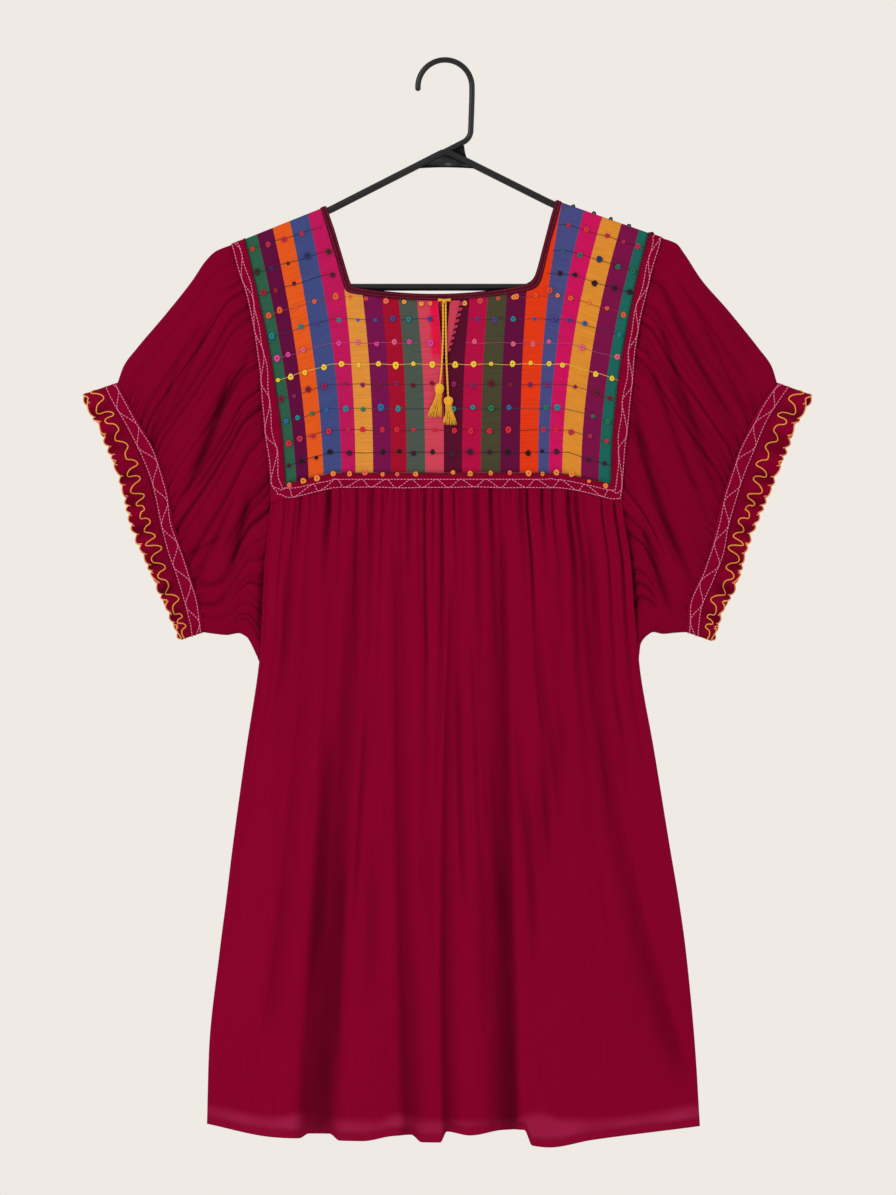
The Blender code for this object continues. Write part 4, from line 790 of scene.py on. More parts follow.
def foldDepth(table, x, z):
    # sum of depth * exp(-((x - line(z)) / half)^2), half wider on one side, fading in and out along each line
    a, b, c = foldLevels
    down = np.clip((a - z) / (a - c), 0, 1)
    total = np.zeros(np.broadcast(x, z).shape)
    for k in range(len(table["depth"])):
        line = (table["xTop"][k] * (z - b) * (z - c) / ((a - b) * (a - c))
                + table["xMid"][k] * (z - a) * (z - c) / ((b - a) * (b - c))
                + table["xHem"][k] * (z - a) * (z - b) / ((c - a) * (c - b)))
        half = table["halfTop"][k] + (table["halfHem"][k] - table["halfTop"][k]) * down
        within = blend((table["start"][k] - z) / 0.060) * blend((z - table["end"][k]) / 0.060)
        half = half * (1 + table["lean"][k] * np.tanh((x - line) / 0.003))
        total += table["depth"][k] * (0.35 + 0.65 * down) * within * np.exp(-((x - line) / half) ** 2)
    return total


def hemZ(x, table):  # a smooth line through the table's heights
    return smooth(table["x"], table["z"], x)


def fineCreases(a, down, count, seed, depth, reach):
    # narrow troughs that start under the band, each with its own place, drift, width, depth and length
    chance = np.random.default_rng(seed)
    place = (np.arange(count) + 0.5 + chance.uniform(-0.45, 0.45, count)) / count
    drift = chance.uniform(-0.25, 0.25, count)
    half = chance.uniform(0.10, 0.26, count) / count
    deep = depth * chance.uniform(0.15, 1.3, count)
    long = reach[0] + (reach[1] - reach[0]) * chance.uniform(0, 1, count) ** 2
    total = np.zeros(np.broadcast(a, down).shape)
    for k in range(count):
        wide = half[k] * (1 + 2.6 * down)
        line = place[k] + drift[k] * down * down * 0.4
        total += deep[k] * np.exp(-((a - line) / wide) ** 2) * np.exp(-(down / long[k]) ** 1.6)
    return total


def longCreases(a, down, count, seed, depth):
    # soft shallow troughs of uneven length that come and go down the body
    chance = np.random.default_rng(seed)
    total = np.zeros(np.broadcast(a, down).shape)
    for k in range(count):
        start, long = chance.uniform(0.0, 0.55), chance.uniform(0.15, 0.5)
        line = chance.uniform(0.04, 0.96) + chance.uniform(-0.03, 0.03) * down
        half = chance.uniform(0.005, 0.014)
        within = blend((down - start) / 0.12) * blend((start + long - down) / 0.15)
        total += depth * chance.uniform(0.4, 1.2) * within * np.exp(-((a - line) / half) ** 2)
    return total


def makeBody(side):  # z from band to hem, x across the torso, less gathers, soft creases and large folds
    front = side < 0
    columns = bodyLook["columnsFront" if front else "columnsBack"]
    rows = bodyLook["rowsFront" if front else "rowsBack"]
    a = np.linspace(0, 1, columns + 1)[None]
    top, low = bodyLook["topZone"], bodyLook["hemZone"]
    b = np.concatenate([np.linspace(0, top, bodyLook["rowsTop"]), np.linspace(top, low, rows)[1:],
                        np.linspace(low, 1, bodyLook["rowsHem"])[1:]])[:, None]
    corner = yokeLook["cornerX"]
    xTop = corner[0] + (corner[1] - corner[0]) * a
    zTop = yokeBottom(xTop) - yokeLook["bandDrop"] + bodyLook["tuck"]
    xHem = torso["left"][-1] + (torso["right"][-1] - torso["left"][-1]) * a
    z = zTop * (1 - b) + hemZ(xHem, frontHem if front else backHem) * b
    left, right = edgeAt("left", z), edgeAt("right", z)
    x = left + (right - left) * a
    down = np.maximum(zTop - z, 0)
    calm = blend(np.minimum(a, 1 - a) / 0.02)
    tucked = blend((bodyLook["tuck"] + 0.002 - down) / 0.004)
    big = foldDepth(frontFolds if front else backFolds, x, z)
    share = down / bodyLook["length"]
    reach = bodyLook["fadeLow"] / bodyLook["length"], bodyLook["fadeHigh"] / bodyLook["length"]
    gathers = fineCreases(a, share, bodyLook["gathersFront" if front else "gathersBack"], 11 if front else 12,
                          bodyLook["gatherDepth"], reach)
    gathers = gathers + fineCreases(a, share, bodyLook["tinyGathers"], 13 if front else 14,
                                    bodyLook["tinyDepth"], bodyLook["tinyReach"])
    soft = longCreases(a, share, bodyLook["creases"], 21 if front else 22, bodyLook["creaseDepth"])
    hem = blend((bodyLook["hemWidth"] - (z - z[-1:])) / 0.0012)
    relief = ((0.0006 - gathers * blend(down / 0.012) - gathers * 0.5 - soft - big) * calm
              - 0.0012 * tucked + 0.0003 * hem)
    grid = hang(x, lengthTo(x, z), side, relief)
    uv = np.stack([(a - 0.5) * 0.42 + 0 * z, z + 0 * a], axis=-1)
    # painted shade: darker along the gathers, the soft creases and the large folds
    paintedShade = np.clip(gathers / 0.0042 + soft / 0.008 + (big / 0.012) ** 1.5, 0, 1) * calm
    # painted light: where only the front's single sheer layer hangs below the back's hem the colour turns
    # lighter, as light coming through it; lit lessens it in the large folds, and it is a little lighter along
    # the stitched hem
    thin = 0 * z
    if front:
        patchy = 0.75 + 0.25 * np.sin(xHem * 92 + 1.5) * np.sin(xHem * 37)
        lit = patchy * (1 - 0.85 * np.clip((big / 0.010) ** 1.2, 0, 1))
        thin = blend((hemZ(xHem, backHem) - z + 0.004) / 0.010) * (1 - hem) * 0.75 * lit + 0.12 * hem
    piece = clothShell("bodyFrontCloth" if front else "bodyBackCloth", grid, uv, gauze, "body_cloth",
                       bodyLook["thickness"], ("body_front",) if front else ("body_back",),
                       values={"paintedShade": paintedShade, "thin": thin})
    row = int(np.argmin(np.abs(z[:, columns // 2] - z[-1, columns // 2] - bodyLook["hemWidth"])))
    out = np.array((0.0, side * 1.0, 0.0))
    return grid[row] + out * 0.0004, grid[row] + out * 0.0008


hemStitch = {"pitch": 0.0034, "length": 0.0024, "radius": 0.00022, "wander": 0.0002}
hemLines = [makeBody(side) for side in (-1, 1)]
hemParts = [stitchTubes(low, high, hemStitch) for low, high in hemLines]
makePiece("hemStitches", *merged(hemParts), hemThread, "body_cloth")
print("body made")

# Sleeves, cuffs and ruffles: rings, w the share from the top fold to the fold under the arm, side -1 and +1

sleeveTable = {
    "left": {
        "v": [0.00, 0.12, 0.20, 0.34, 0.55, 0.78, 0.92, 1.00],
        "topX": [-0.1912, -0.2055, -0.2140, -0.2260, -0.2490, -0.2740, -0.2850, -0.2904],
        "topZ": [-0.1622, -0.1682, -0.1765, -0.1945, -0.2240, -0.2540, -0.2690, -0.2843],
        "underX": [-0.1658, -0.1725, -0.1775, -0.1850, -0.1955, -0.2060, -0.2130, -0.2167],
        "underZ": [-0.5330, -0.5180, -0.5100, -0.5065, -0.5080, -0.5070, -0.5060, -0.5054],
    },
    "right": {
        "v": [0.00, 0.12, 0.20, 0.34, 0.55, 0.78, 0.92, 1.00],
        "topX": [0.1932, 0.2060, 0.2130, 0.2280, 0.2510, 0.2775, 0.2900, 0.2945],
        "topZ": [-0.1560, -0.1610, -0.1700, -0.1930, -0.2195, -0.2525, -0.2700, -0.2843],
        "underX": [0.1732, 0.1750, 0.1800, 0.1870, 0.1960, 0.2065, 0.2135, 0.2176],
        "underZ": [-0.5330, -0.5170, -0.5095, -0.5055, -0.5070, -0.5060, -0.5055, -0.5054],
    },
}
sleeveLook = {"around": 620, "even": 0.6, "rows": 51, "cuffAround": 300, "puff": 0.008, "cuffHalf": 0.013,
              "curveLeft": 0.0145, "curveRight": 0.0100, "curveShift": 0.75, "closes": 0.015,
              "cuffWidth": 0.0125, "settling": 0.85,
              "gaps": (0.010, 0.034), "longDepth": 0.0042, "shortArm": 70, "shortCuff": 60, "shortDepth": 0.0016,
              "shade": 0.20, "thickness": 0.0006}
# a crease that starts at the share "arm" of the armhole ends at the share "cuff" of the cuff
flowTable = {"arm": [0.0, 0.05, 0.10, 0.18, 0.29, 0.36, 0.44, 0.52, 0.65, 0.82, 1.0],
             "cuff": [0.0, 0.08, 0.17, 0.28, 0.42, 0.52, 0.66, 0.86, 0.94, 0.98, 1.0]}
# creases placed one by one: a bent line from x0, z0 by x1, z1 to x2, z2, its half width and depth, in
# millimetres
leftCreases = {
    "x0": [-191, -173, -158, -171, -200, -231, -235, -252, -222, -221, -214],
    "z0": [-279, -381, -437, -255, -215, -438, -262, -300, -458, -477, -492],
    "x1": [-204, -182, -163, -186, -222, -209, -247, -262, -203, -203, -199],
    "z1": [-330, -425, -478, -285, -262, -430, -300, -330, -473, -490, -499],
    "x2": [-229, -191, -164, -214, -247, -193, -262, -262, -190, -189, -186],
    "z2": [-381, -455, -512, -330, -318, -416, -345, -362, -450, -466, -486],
    "half": [4.5, 4.0, 4.0, 3.0, 3.5, 3.0, 3.0, 2.6, 3.5, 3.5, 3.0],
    "depth": [6.5, 5.0, 5.5, 3.0, 2.6, 2.4, 2.4, 2.0, 3.4, 3.2, 2.4],
}
rightCreases = {
    "x0": [192, 188, 168, 175, 160, 210, 200, 178, 222, 196],
    "z0": [-199, -221, -304, -408, -401, -171, -185, -250, -215, -265],
    "x1": [222, 205, 180, 186, 166, 242, 236, 200, 246, 220],
    "z1": [-270, -284, -385, -450, -455, -222, -235, -330, -270, -345],
    "x2": [266, 240, 219, 202, 171, 288, 280, 236, 272, 252],
    "z2": [-332, -371, -459, -490, -512, -282, -300, -410, -318, -400],
    "half": [3.6, 3.4, 4.5, 4.0, 4.0, 3.0, 2.8, 3.0, 2.8, 3.0],
    "depth": [4.5, 4.0, 6.0, 5.0, 5.0, 2.4, 2.2, 3.2, 2.4, 2.6],
}


# at shares of the cuff from its top fold down: how far its seam is drawn in further, and the ruffle's length
cuffShares = {
    "share": [0.0, 0.05, 0.12, 0.25, 0.35, 0.45, 0.55, 0.65, 0.77, 0.88, 0.95, 1.0],
    "drawnLeft": [0.0, 0.0, 0.0, 0.0, -0.0008, -0.0020, -0.0033, -0.0010, 0.0036, 0.0055, 0.0045, 0.0024],
    "drawnRight": [0.0, 0.0030, 0.0050, 0.0040, 0.0033, 0.0028, 0.0025, 0.0018, 0.0050, 0.0090, 0.0060, 0.0030],
    "ruffleLeft": [0.0200, 0.0202, 0.0208, 0.0240, 0.0255, 0.0260,
                   0.0240, 0.0208, 0.0185, 0.0150, 0.0120, 0.0095],
    "ruffleRight": [0.0210, 0.0218, 0.0235, 0.0255, 0.0258, 0.0235,
                    0.0205, 0.0178, 0.0190, 0.0172, 0.0148, 0.0120],
}


def cuffShare(w, name, left):  # one column of the cuff's table at the share w
    return smooth(cuffShares["share"], cuffShares[name + ("Left" if left else "Right")], w)


def crease(t):  # a valley with a nearly sharp floor: exp(-(t^2 + 0.03)^0.62)
    return np.exp(-(t * t + 0.03) ** 0.62)


def creaseDepth(table, x, z, flip=1.0):
    # sum of depth * crease(distance to the bent line / half), softer towards both ends
    t = np.linspace(0, 1, 15)
    total = np.zeros(x.shape)
    for k in range(len(table["x0"])):
        px, pz = (0.001 * ((1 - t) ** 2 * table[c + "0"][k] + 2 * t * (1 - t) * table[c + "1"][k]
                           + t * t * table[c + "2"][k]) for c in ("x", "z"))
        px = px * flip
        nearest = np.full(x.shape, 1e9)
        where = np.zeros(x.shape)
        for i in range(len(t) - 1):
            dx, dz = px[i + 1] - px[i], pz[i + 1] - pz[i]
            share = np.clip(((x - px[i]) * dx + (z - pz[i]) * dz) / (dx * dx + dz * dz), 0, 1)
            apart = (x - px[i] - share * dx) ** 2 + (z - pz[i] - share * dz) ** 2
            closer = apart < nearest
            nearest = np.where(closer, apart, nearest)
            where = np.where(closer, (i + share) / (len(t) - 1), where)
        half = 0.0008 * table["half"][k]
        ends = 0.35 + 0.65 * blend(where / 0.25) * blend((1 - where) / 0.3)
        total += 0.001 * table["depth"][k] * ends * crease(np.sqrt(nearest) / half)
    return total


def lens(w):  # sqrt(4w(1 - w)), a half circle from fold to fold
    return np.sqrt(np.clip(4 * w * (1 - w), 0, 1))


def cuffLine(w, left):  # straight from fold to fold, drawn in by curve * sin(pi * w^shift)^2 and the table
    table = sleeveTable["left" if left else "right"]
    curve = sleeveLook["curveLeft" if left else "curveRight"]
    drawn = curve * np.sin(math.pi * w ** sleeveLook["curveShift"]) ** 2 + cuffShare(w, "drawn", left)
    x = table["topX"][-1] + (table["underX"][-1] - table["topX"][-1]) * w + (drawn if left else -drawn)
    return x, table["topZ"][-1] + (table["underZ"][-1] - table["topZ"][-1]) * w


def armhole(w, side, left, tuck=0.0):  # the torso's edge at the share w of its length, closed at its foot
    table = sleeveTable["left" if left else "right"]
    s = w * lengthTo(table["underX"][0], table["underZ"][0])
    edge, z = torsoEdge(s, left)
    depth = torsoDepth(edge, z, s, side)
    return edge + (tuck if left else -tuck), z, depth * blend((1 - w) / sleeveLook["closes"])


def sleeveCreases(started, w, v, side, seed):
    # long creases along the cloth's lines, unevenly spaced, each steeper on one side, from its first to its last
    # share of the way, and short gathers at both seams
    chance = np.random.default_rng(seed)
    look = sleeveLook
    longOnes, short = np.zeros(started.shape), np.zeros(started.shape)
    for face in (-1.0, 1.0):
        shown = side == face
        line = 0.015
        while line < 0.985:
            gap = chance.uniform(*look["gaps"])
            half = gap * chance.uniform(0.16, 0.36)
            deep = chance.uniform(0.15, 1.0) ** 1.3 * (0.35 + 0.65 * min(line / 0.12, 1))
            first = chance.uniform(0.05, 0.4) if chance.uniform() < 0.22 else -0.2
            last = chance.uniform(0.45, 0.85) if chance.uniform() < 0.30 else 1.3
            last = last - 0.75 * blend((line - 0.46) / 0.12)
            within = blend((v - first) / 0.15) * blend((last - v) / 0.22)
            lean = chance.uniform(-0.45, 0.45)
            waver = 0.25 * half * np.sin(v * chance.uniform(3, 8) + chance.uniform(0, tau))
            away = started - line - waver
            longOnes += shown * deep * within * crease(away / (half * (1 + lean * np.tanh(away / half * 2))))
            line += gap
        for count, place, near, reach in ((look["shortArm"], started, v, (0.05, 0.24)),
                                          (look["shortCuff"], w, 1 - v, (0.04, 0.17))):
            for k in range(count):
                line = (k + 0.5 + chance.uniform(-0.35, 0.35)) / count
                half = chance.uniform(0.18, 0.30) / count
                fade = np.exp(-(near / chance.uniform(*reach)) ** 2) * chance.uniform(0.2, 1.0)
                short += shown * fade * np.exp(-((place - line) / half) ** 2)
    return np.minimum(longOnes, 1.4) * look["longDepth"], np.minimum(short, 1.4) * look["shortDepth"]


def sleeveGrid(left):  # armhole to cuff plus fold to fold, less the corners; creases lessen the depth
    table = sleeveTable["left" if left else "right"]
    around = sleeveLook["around"]
    _, w, side = ringShares(around, sleeveLook["even"])
    w, side = w[None], side[None]
    v = (np.linspace(0, 1, sleeveLook["rows"]) ** 1.15)[:, None]
    armX, armZ, armDepth = armhole(w, side, left, 0.0006)
    cuffX, cuffZ = cuffLine(w, left)
    plan = []
    for arm, cuff, top, under in ((armX, cuffX, "topX", "underX"), (armZ, cuffZ, "topZ", "underZ")):
        topLine, underLine = smooth(table["v"], table[top], v), smooth(table["v"], table[under], v)
        corners = ((1 - v) * ((1 - w) * table[top][0] + w * table[under][0])
                   + v * ((1 - w) * table[top][-1] + w * table[under][-1]))
        plan.append((1 - v) * arm + v * cuff + (1 - w) * topLine + w * underLine - corners)
    x, z = plan
    puffed = sleeveLook["puff"] * np.sin(math.pi * v) * lens(w)
    depth = (1 - v) * armDepth + v * sleeveLook["cuffHalf"] * lens(w) + puffed
    # the line of cloth through a point started at the share c of the armhole, where
    # w = c + (flow(c) - c) v^settling: solved row by row between close values of c
    c = np.linspace(0, 1, 400)
    ends = smooth(flowTable["arm"], flowTable["cuff"], c)
    started = np.stack([np.interp(w[0], c + (ends - c) * k ** sleeveLook["settling"], c) for k in v[:, 0]])
    longOnes, short = sleeveCreases(started, w, v, side, 31 if left else 32)
    own, other = (leftCreases, rightCreases) if left else (rightCreases, leftCreases)
    placed = np.where(side < 0, creaseDepth(own, x, z), creaseDepth(other, x, z, -1.0))
    openness = blend(lens(w) * 1.8 - 0.15)
    seam = np.exp(-(v / 0.03) ** 2)
    room = np.maximum(depth - 0.0012, 0)
    relief = np.minimum((longOnes + short + placed * (1 - 0.6 * seam)) * openness, room) + 0.0007 * seam
    # painted shade: a base darkening (shade) over the whole sleeve, and more along the long creases, the seams'
    # gathers and the placed creases
    dark = (longOnes / 0.0042) ** 1.3 * 0.8 + short / 0.0032 + (placed / 0.0055) ** 1.2
    paintedShade = sleeveLook["shade"] + np.clip(dark, 0, 1 - sleeveLook["shade"]) * openness
    grid = np.stack([x, side * (depth - relief), z], axis=-1)
    uv = np.stack(np.broadcast_arrays(np.arange(around + 1)[None] / around * 0.74, v * 0.13), axis=-1)
    return grid, uv, paintedShade


def cuffPlace(w, side, left, out, depth=0.0):  # the cuff's line moved out at right angles, a lens deep
    table = sleeveTable["left" if left else "right"]
    run = unit(np.array((table["underX"][-1] - table["topX"][-1], table["underZ"][-1] - table["topZ"][-1])))
    away = np.array((run[1], -run[0])) if left else np.array((-run[1], run[0]))
    x, z = cuffLine(w, left)
    places = (x + out * away[0], side * (sleeveLook["cuffHalf"] * lens(w) + depth), z + out * away[1])
    return np.stack(np.broadcast_arrays(*places), axis=-1)


def ringShares(count, even=0.0):
    # w goes from 0 to 1 in front and back behind: even * t + (1 - even) * (1 - cos(pi * t)) / 2
    turn = np.arange(count) / count
    t = 1 - np.abs(1 - 2 * turn)
    return turn, even * t + (1 - even) * (1 - np.cos(math.pi * t)) / 2, np.where(turn < 0.5, -1.0, 1.0)


def makeSleeve(left):  # a ring of cloth from the armhole to the cuff
    name = "left" if left else "right"
    grid, uv, paintedShade = sleeveGrid(left)
    piece = clothShell(name + "SleeveCloth", grid, uv, gauze, "body_cloth", sleeveLook["thickness"],
                       ("sleeve_" + name,), closed=True, values={"paintedShade": paintedShade, "thin": 0 * paintedShade})


def makeCuff(left):  # a narrow ring along the cuff's line, its edges rolled in
    name = "left" if left else "right"
    turn, w, side = ringShares(sleeveLook["cuffAround"])
    out = np.linspace(-0.0006, sleeveLook["cuffWidth"] + 0.0004, 8)[:, None]
    rolled = 0.0009 * blend((out + 0.0006) / 0.0012) * blend((sleeveLook["cuffWidth"] + 0.0004 - out) / 0.0012)
    grid = cuffPlace(w[None], side[None], left, out, rolled * lens(w)[None])
    around = np.arange(len(turn) + 1)[None] / len(turn) * 0.48
    piece = clothShell(name + "CuffCloth", grid, np.stack(np.broadcast_arrays(around, out), axis=-1), gauze,
                       "body_cloth", 0.0008, ("cuff_" + name,), closed=True)


ruffleLook = {
    "waves": 17, "depth": 0.0052, "width": 0.0245, "drift": 0.6, "flare": 0.008,
    "around": 408, "rows": 13, "scallops": 50, "scallop": 0.0030, "thickness": 0.0006, "swing": 0.0035,
    "lineShare": 0.50, "lineDrift": 0.14, "lineSwing": 0.0044, "lineWaves": 33, "lineLoop": 0.05,
    "linePoints": 1056, "lineRadius": 0.00056, "edgeRadius": 0.00062, "tick": 0.0026,
}


def rufflePlace(turn, r, left):
    # turn once round the cuff, r from the cuff to the free edge; waves grow outwards, the edge is scalloped
    look = ruffleLook
    turn, r = np.broadcast_arrays(np.asarray(turn, float), np.asarray(r, float))
    part = turn % 1.0
    w = np.where(part < 0.5, 2 * part, 2 - 2 * part)
    side = np.where(part < 0.5, -1.0, 1.0)
    length = cuffShare(w, "ruffle", left)
    uneven = part + 0.0035 * np.sin(9 * tau * part) + 0.002 * np.sin(23 * tau * part)
    cusp = np.abs(np.sin(math.pi * look["scallops"] * uneven)) ** 0.8
    tall = 1 + 0.45 * np.sin(11 * tau * part + 1) * np.sin(4 * tau * part)
    reach = r * length + look["scallop"] * tall * (cusp - 0.6) * blend((r - 0.70) / 0.30)
    wave = np.sin(tau * look["waves"] * part + look["drift"] * np.sin(5 * tau * part))
    small = np.sin(tau * look["waves"] * 2.3 * part + 1.3 * np.sin(3 * tau * part))
    inside = blend(lens(w) * 1.7 - 0.25)
    proud = (r * look["flare"] * lens(w) + blend(r * 1.4) * look["depth"] * wave * inside
                + 0.0012 * blend(r * 3) * small * inside)
    start = sleeveLook["cuffWidth"] - 0.0004
    place = cuffPlace(w, side, left, start + reach, proud)
    place[..., 2] += look["swing"] * r * wave * (1 - lens(w) ** 4)
    return place


def ruffleOut(turn, r, left):  # the surface's outward direction, from its own differences
    step = 0.0004
    around = rufflePlace(turn + step, r, left) - rufflePlace(turn - step, r, left)
    down = rufflePlace(turn, r + 0.01, left) - rufflePlace(turn, r - 0.01, left)
    normal = unit(np.cross(around, down))
    side = np.where(np.asarray(turn) % 1.0 < 0.5, -1.0, 1.0)
    return normal * np.sign(normal[..., 1] * side + 1e-9)[..., None]


def makeRuffle(left):  # the waved ring, its embroidered line and its overlocked edge
    name = "left" if left else "right"
    look = ruffleLook
    around = look["around"]
    turn = (np.arange(around) / around)[None]
    r = (np.linspace(0, 1, look["rows"]) ** 0.9)[:, None]
    grid = rufflePlace(turn, r, left)
    uvTurn = np.arange(around + 1)[None] / around * 0.62
    wave = np.sin(tau * look["waves"] * turn + look["drift"] * np.sin(5 * tau * turn))
    # painted shade: darker in the waves' hollows and towards the cuff
    paintedShade = np.clip(-wave * r * 0.7 + 0.38 * (1 - r), 0, 1)
    uv = np.stack(np.broadcast_arrays(uvTurn, r * look["width"]), axis=-1)
    piece = clothShell(name + "RuffleCloth", grid, uv, gauze, "body_cloth", look["thickness"],
                       ("ruffle_" + name,), closed=True, values={"paintedShade": paintedShade, "thin": 0 * paintedShade})
    # embroidered line: r swings round its middle while the turn loops a little
    t = np.arange(look["linePoints"]) / look["linePoints"]
    phase = tau * look["lineWaves"] * t + 1.1 * np.sin(4 * tau * t) + 0.45 * np.sin(13 * tau * t)
    uneven = 1 + 0.30 * np.sin(7 * tau * t) + 0.20 * np.sin(19 * tau * t + 2)
    low = 1 - np.abs(1 - 2 * t)
    uneven = uneven * (1 - 0.55 * blend((low - 0.84) / 0.10))  # the swing gets smaller at the lower end
    middle = look["lineShare"] + look["lineDrift"] * (low - 0.4) + 0.05 * np.sin(6 * tau * t)
    r = middle + look["lineSwing"] / cuffShare(low, "ruffle", left) * uneven * np.sin(phase)
    r = np.clip(r, 0.12, 0.93)
    loop = look["lineLoop"] / look["lineWaves"] * (0.4 + 0.8 * np.sin(5 * tau * t) ** 2)
    turned = t - loop * np.sin(2 * phase + 0.8)
    out = ruffleOut(turned, r, left)
    line = rufflePlace(turned, r, left) + out * (look["thickness"] / 2 + 0.0003)
    made = tubes(line[None], look["lineRadius"], 5, out[None], closed=True)
    makePiece(name + "RuffleEmbroidery", *made, goldThread, "edging_thread")
    # overlocked edge: a thread along the scallops and a short hook at each notch
    count = look["scallops"] * 12
    t = np.arange(count) / count
    edge = rufflePlace(t, 1.0, left)
    out = ruffleOut(t, 0.99, left)
    parts = [tubes(edge[None], look["edgeRadius"], 6, out[None], closed=True)]
    notch = np.arange(look["scallops"])[:, None] / look["scallops"] + np.array([[0.0, 0.0005, 0.0014, 0.0022]])
    inward = 1.0 - np.array([[0.0, 0.35, 0.75, 1.0]]) * look["tick"] / look["width"]
    for face in (1.0, -1.0):
        ticks = rufflePlace(notch, inward, left) + face * ruffleOut(notch, inward, left) * 0.0005
        parts.append(tubes(ticks, look["edgeRadius"] * 0.8, 5, ruffleOut(notch, inward, left)))
    makePiece(name + "RuffleEdge", *merged(parts), edgeThread, "edging_thread")


for left in (True, False):
    makeSleeve(left)
    makeCuff(left)
    makeRuffle(left)
print("sleeves, cuffs and ruffles made")

# Pink stitching on the bands and cuffs: two running lines and a zigzag that crosses them

pinkStitch = {"pitch": 0.0029, "length": 0.0023, "radius": 0.00039, "wander": 0.0002}
stitchLook = {"proud": 0.0006, "innerSide": 0.46, "outerSide": 0.93, "innerBelow": 0.40, "outerBelow": 0.95,
              "zigSide": 0.045, "zigBelow": 0.0225, "cuffInner": 0.0018, "cuffOuter": 0.0112,
              "cuffMiddle": 0.006, "cuffZig": 0.037}


def zigzag(phase):  # between a triangle wave and a cosine, from 0 to 1
    saw = np.abs((phase % 1.0) * 2 - 1)
    return saw * 0.15 + 0.85 * blend(saw)


def sideToBelow(name, below):  # the value at the band's sides, turning into the one below
    return stitchLook[name + "Side"] + (stitchLook[name + "Below"] - stitchLook[name + "Side"]) * below


def bandLines(side):
    # shares of the band's width: an inner and an outer line that sway, rounded at the corners, and a zigzag
    # that crosses between them once for each pitch of length
    q = np.linspace(0.012, 2.988, 2600)
    below = blend((q - 0.96) / 0.06) * blend((2.04 - q) / 0.06)
    sway = 0.07 * np.sin(q * 19) + 0.05 * np.sin(q * 43 + side)
    cornerRound = 0.42 * np.exp(-((q - 1) / 0.035) ** 2) + 0.15 * np.exp(-((q - 2) / 0.02) ** 2)
    inner = sideToBelow("inner", below) + sway * (1 - below) - 0.5 * cornerRound
    outer = sideToBelow("outer", below) + sway * 0.3 - cornerRound
    middle = bandPlace(q, (inner + outer) / 2, side)
    run = lengthAlong(middle)
    phase = np.concatenate([[0], np.cumsum(np.diff(run) / sideToBelow("zig", below)[1:])])
    cross = zigzag(phase + 0.2)
    wide = 1.0 + 0.10 * (1 - below)
    third = inner + (outer - inner) * (0.5 + (cross - 0.5) * wide)
    return q, (inner, outer, third)


def bandStitches(side):  # the three lines along the band
    parts = []
    q, lines = bandLines(side)
    for k, share in enumerate(lines):
        low = bandPlace(q, share, side, 0.0004)
        high = bandPlace(q, share, side, 0.0004 + stitchLook["proud"])
        parts.append(stitchTubes(low, high, pinkStitch, 40 + k))
    return parts


def cuffStitches(left):
    # the same three lines round the cuff
    count = 1500
    turn = np.arange(count + 1) / count
    w, side = (1 - np.cos(tau * turn)) / 2, np.where(turn % 1.0 < 0.5, -1.0, 1.0)
    run = lengthAlong(cuffPlace(w, side, left, stitchLook["cuffMiddle"]))
    sway = 0.0006 * np.sin(run * 60) + 0.0004 * np.sin(run * 133 + 2)
    inner, outer = stitchLook["cuffInner"] + sway, stitchLook["cuffOuter"] - 0.5 * sway
    cross = inner + (outer - inner) * zigzag(run / stitchLook["cuffZig"] + 0.3)
    parts = []
    for k, out in enumerate((inner, outer, cross)):
        place = cuffPlace(w, side, left, out, 0.0009 * lens(w))
        around = np.gradient(place, axis=0)
        away = cuffPlace(w, side, left, out + 0.001) - cuffPlace(w, side, left, out)
        normal = unit(np.cross(around, away))
        normal *= np.sign(normal[:, 1] * side + 1e-9)[:, None]
        low, high = place + normal * 0.0003, place + normal * (0.0003 + stitchLook["proud"])
        parts.append(stitchTubes(low, high, pinkStitch, 50 + k))
    return parts


for name, parts in (("bandFrontStitches", bandStitches(-1)), ("bandBackStitches", bandStitches(1)),
                    ("leftCuffStitches", cuffStitches(True)), ("rightCuffStitches", cuffStitches(False))):
    makePiece(name, *merged(parts), pinkThread, "edging_thread")
print("stitching made")

# Knots in rows across the yoke, one on each stripe, joined by float threads

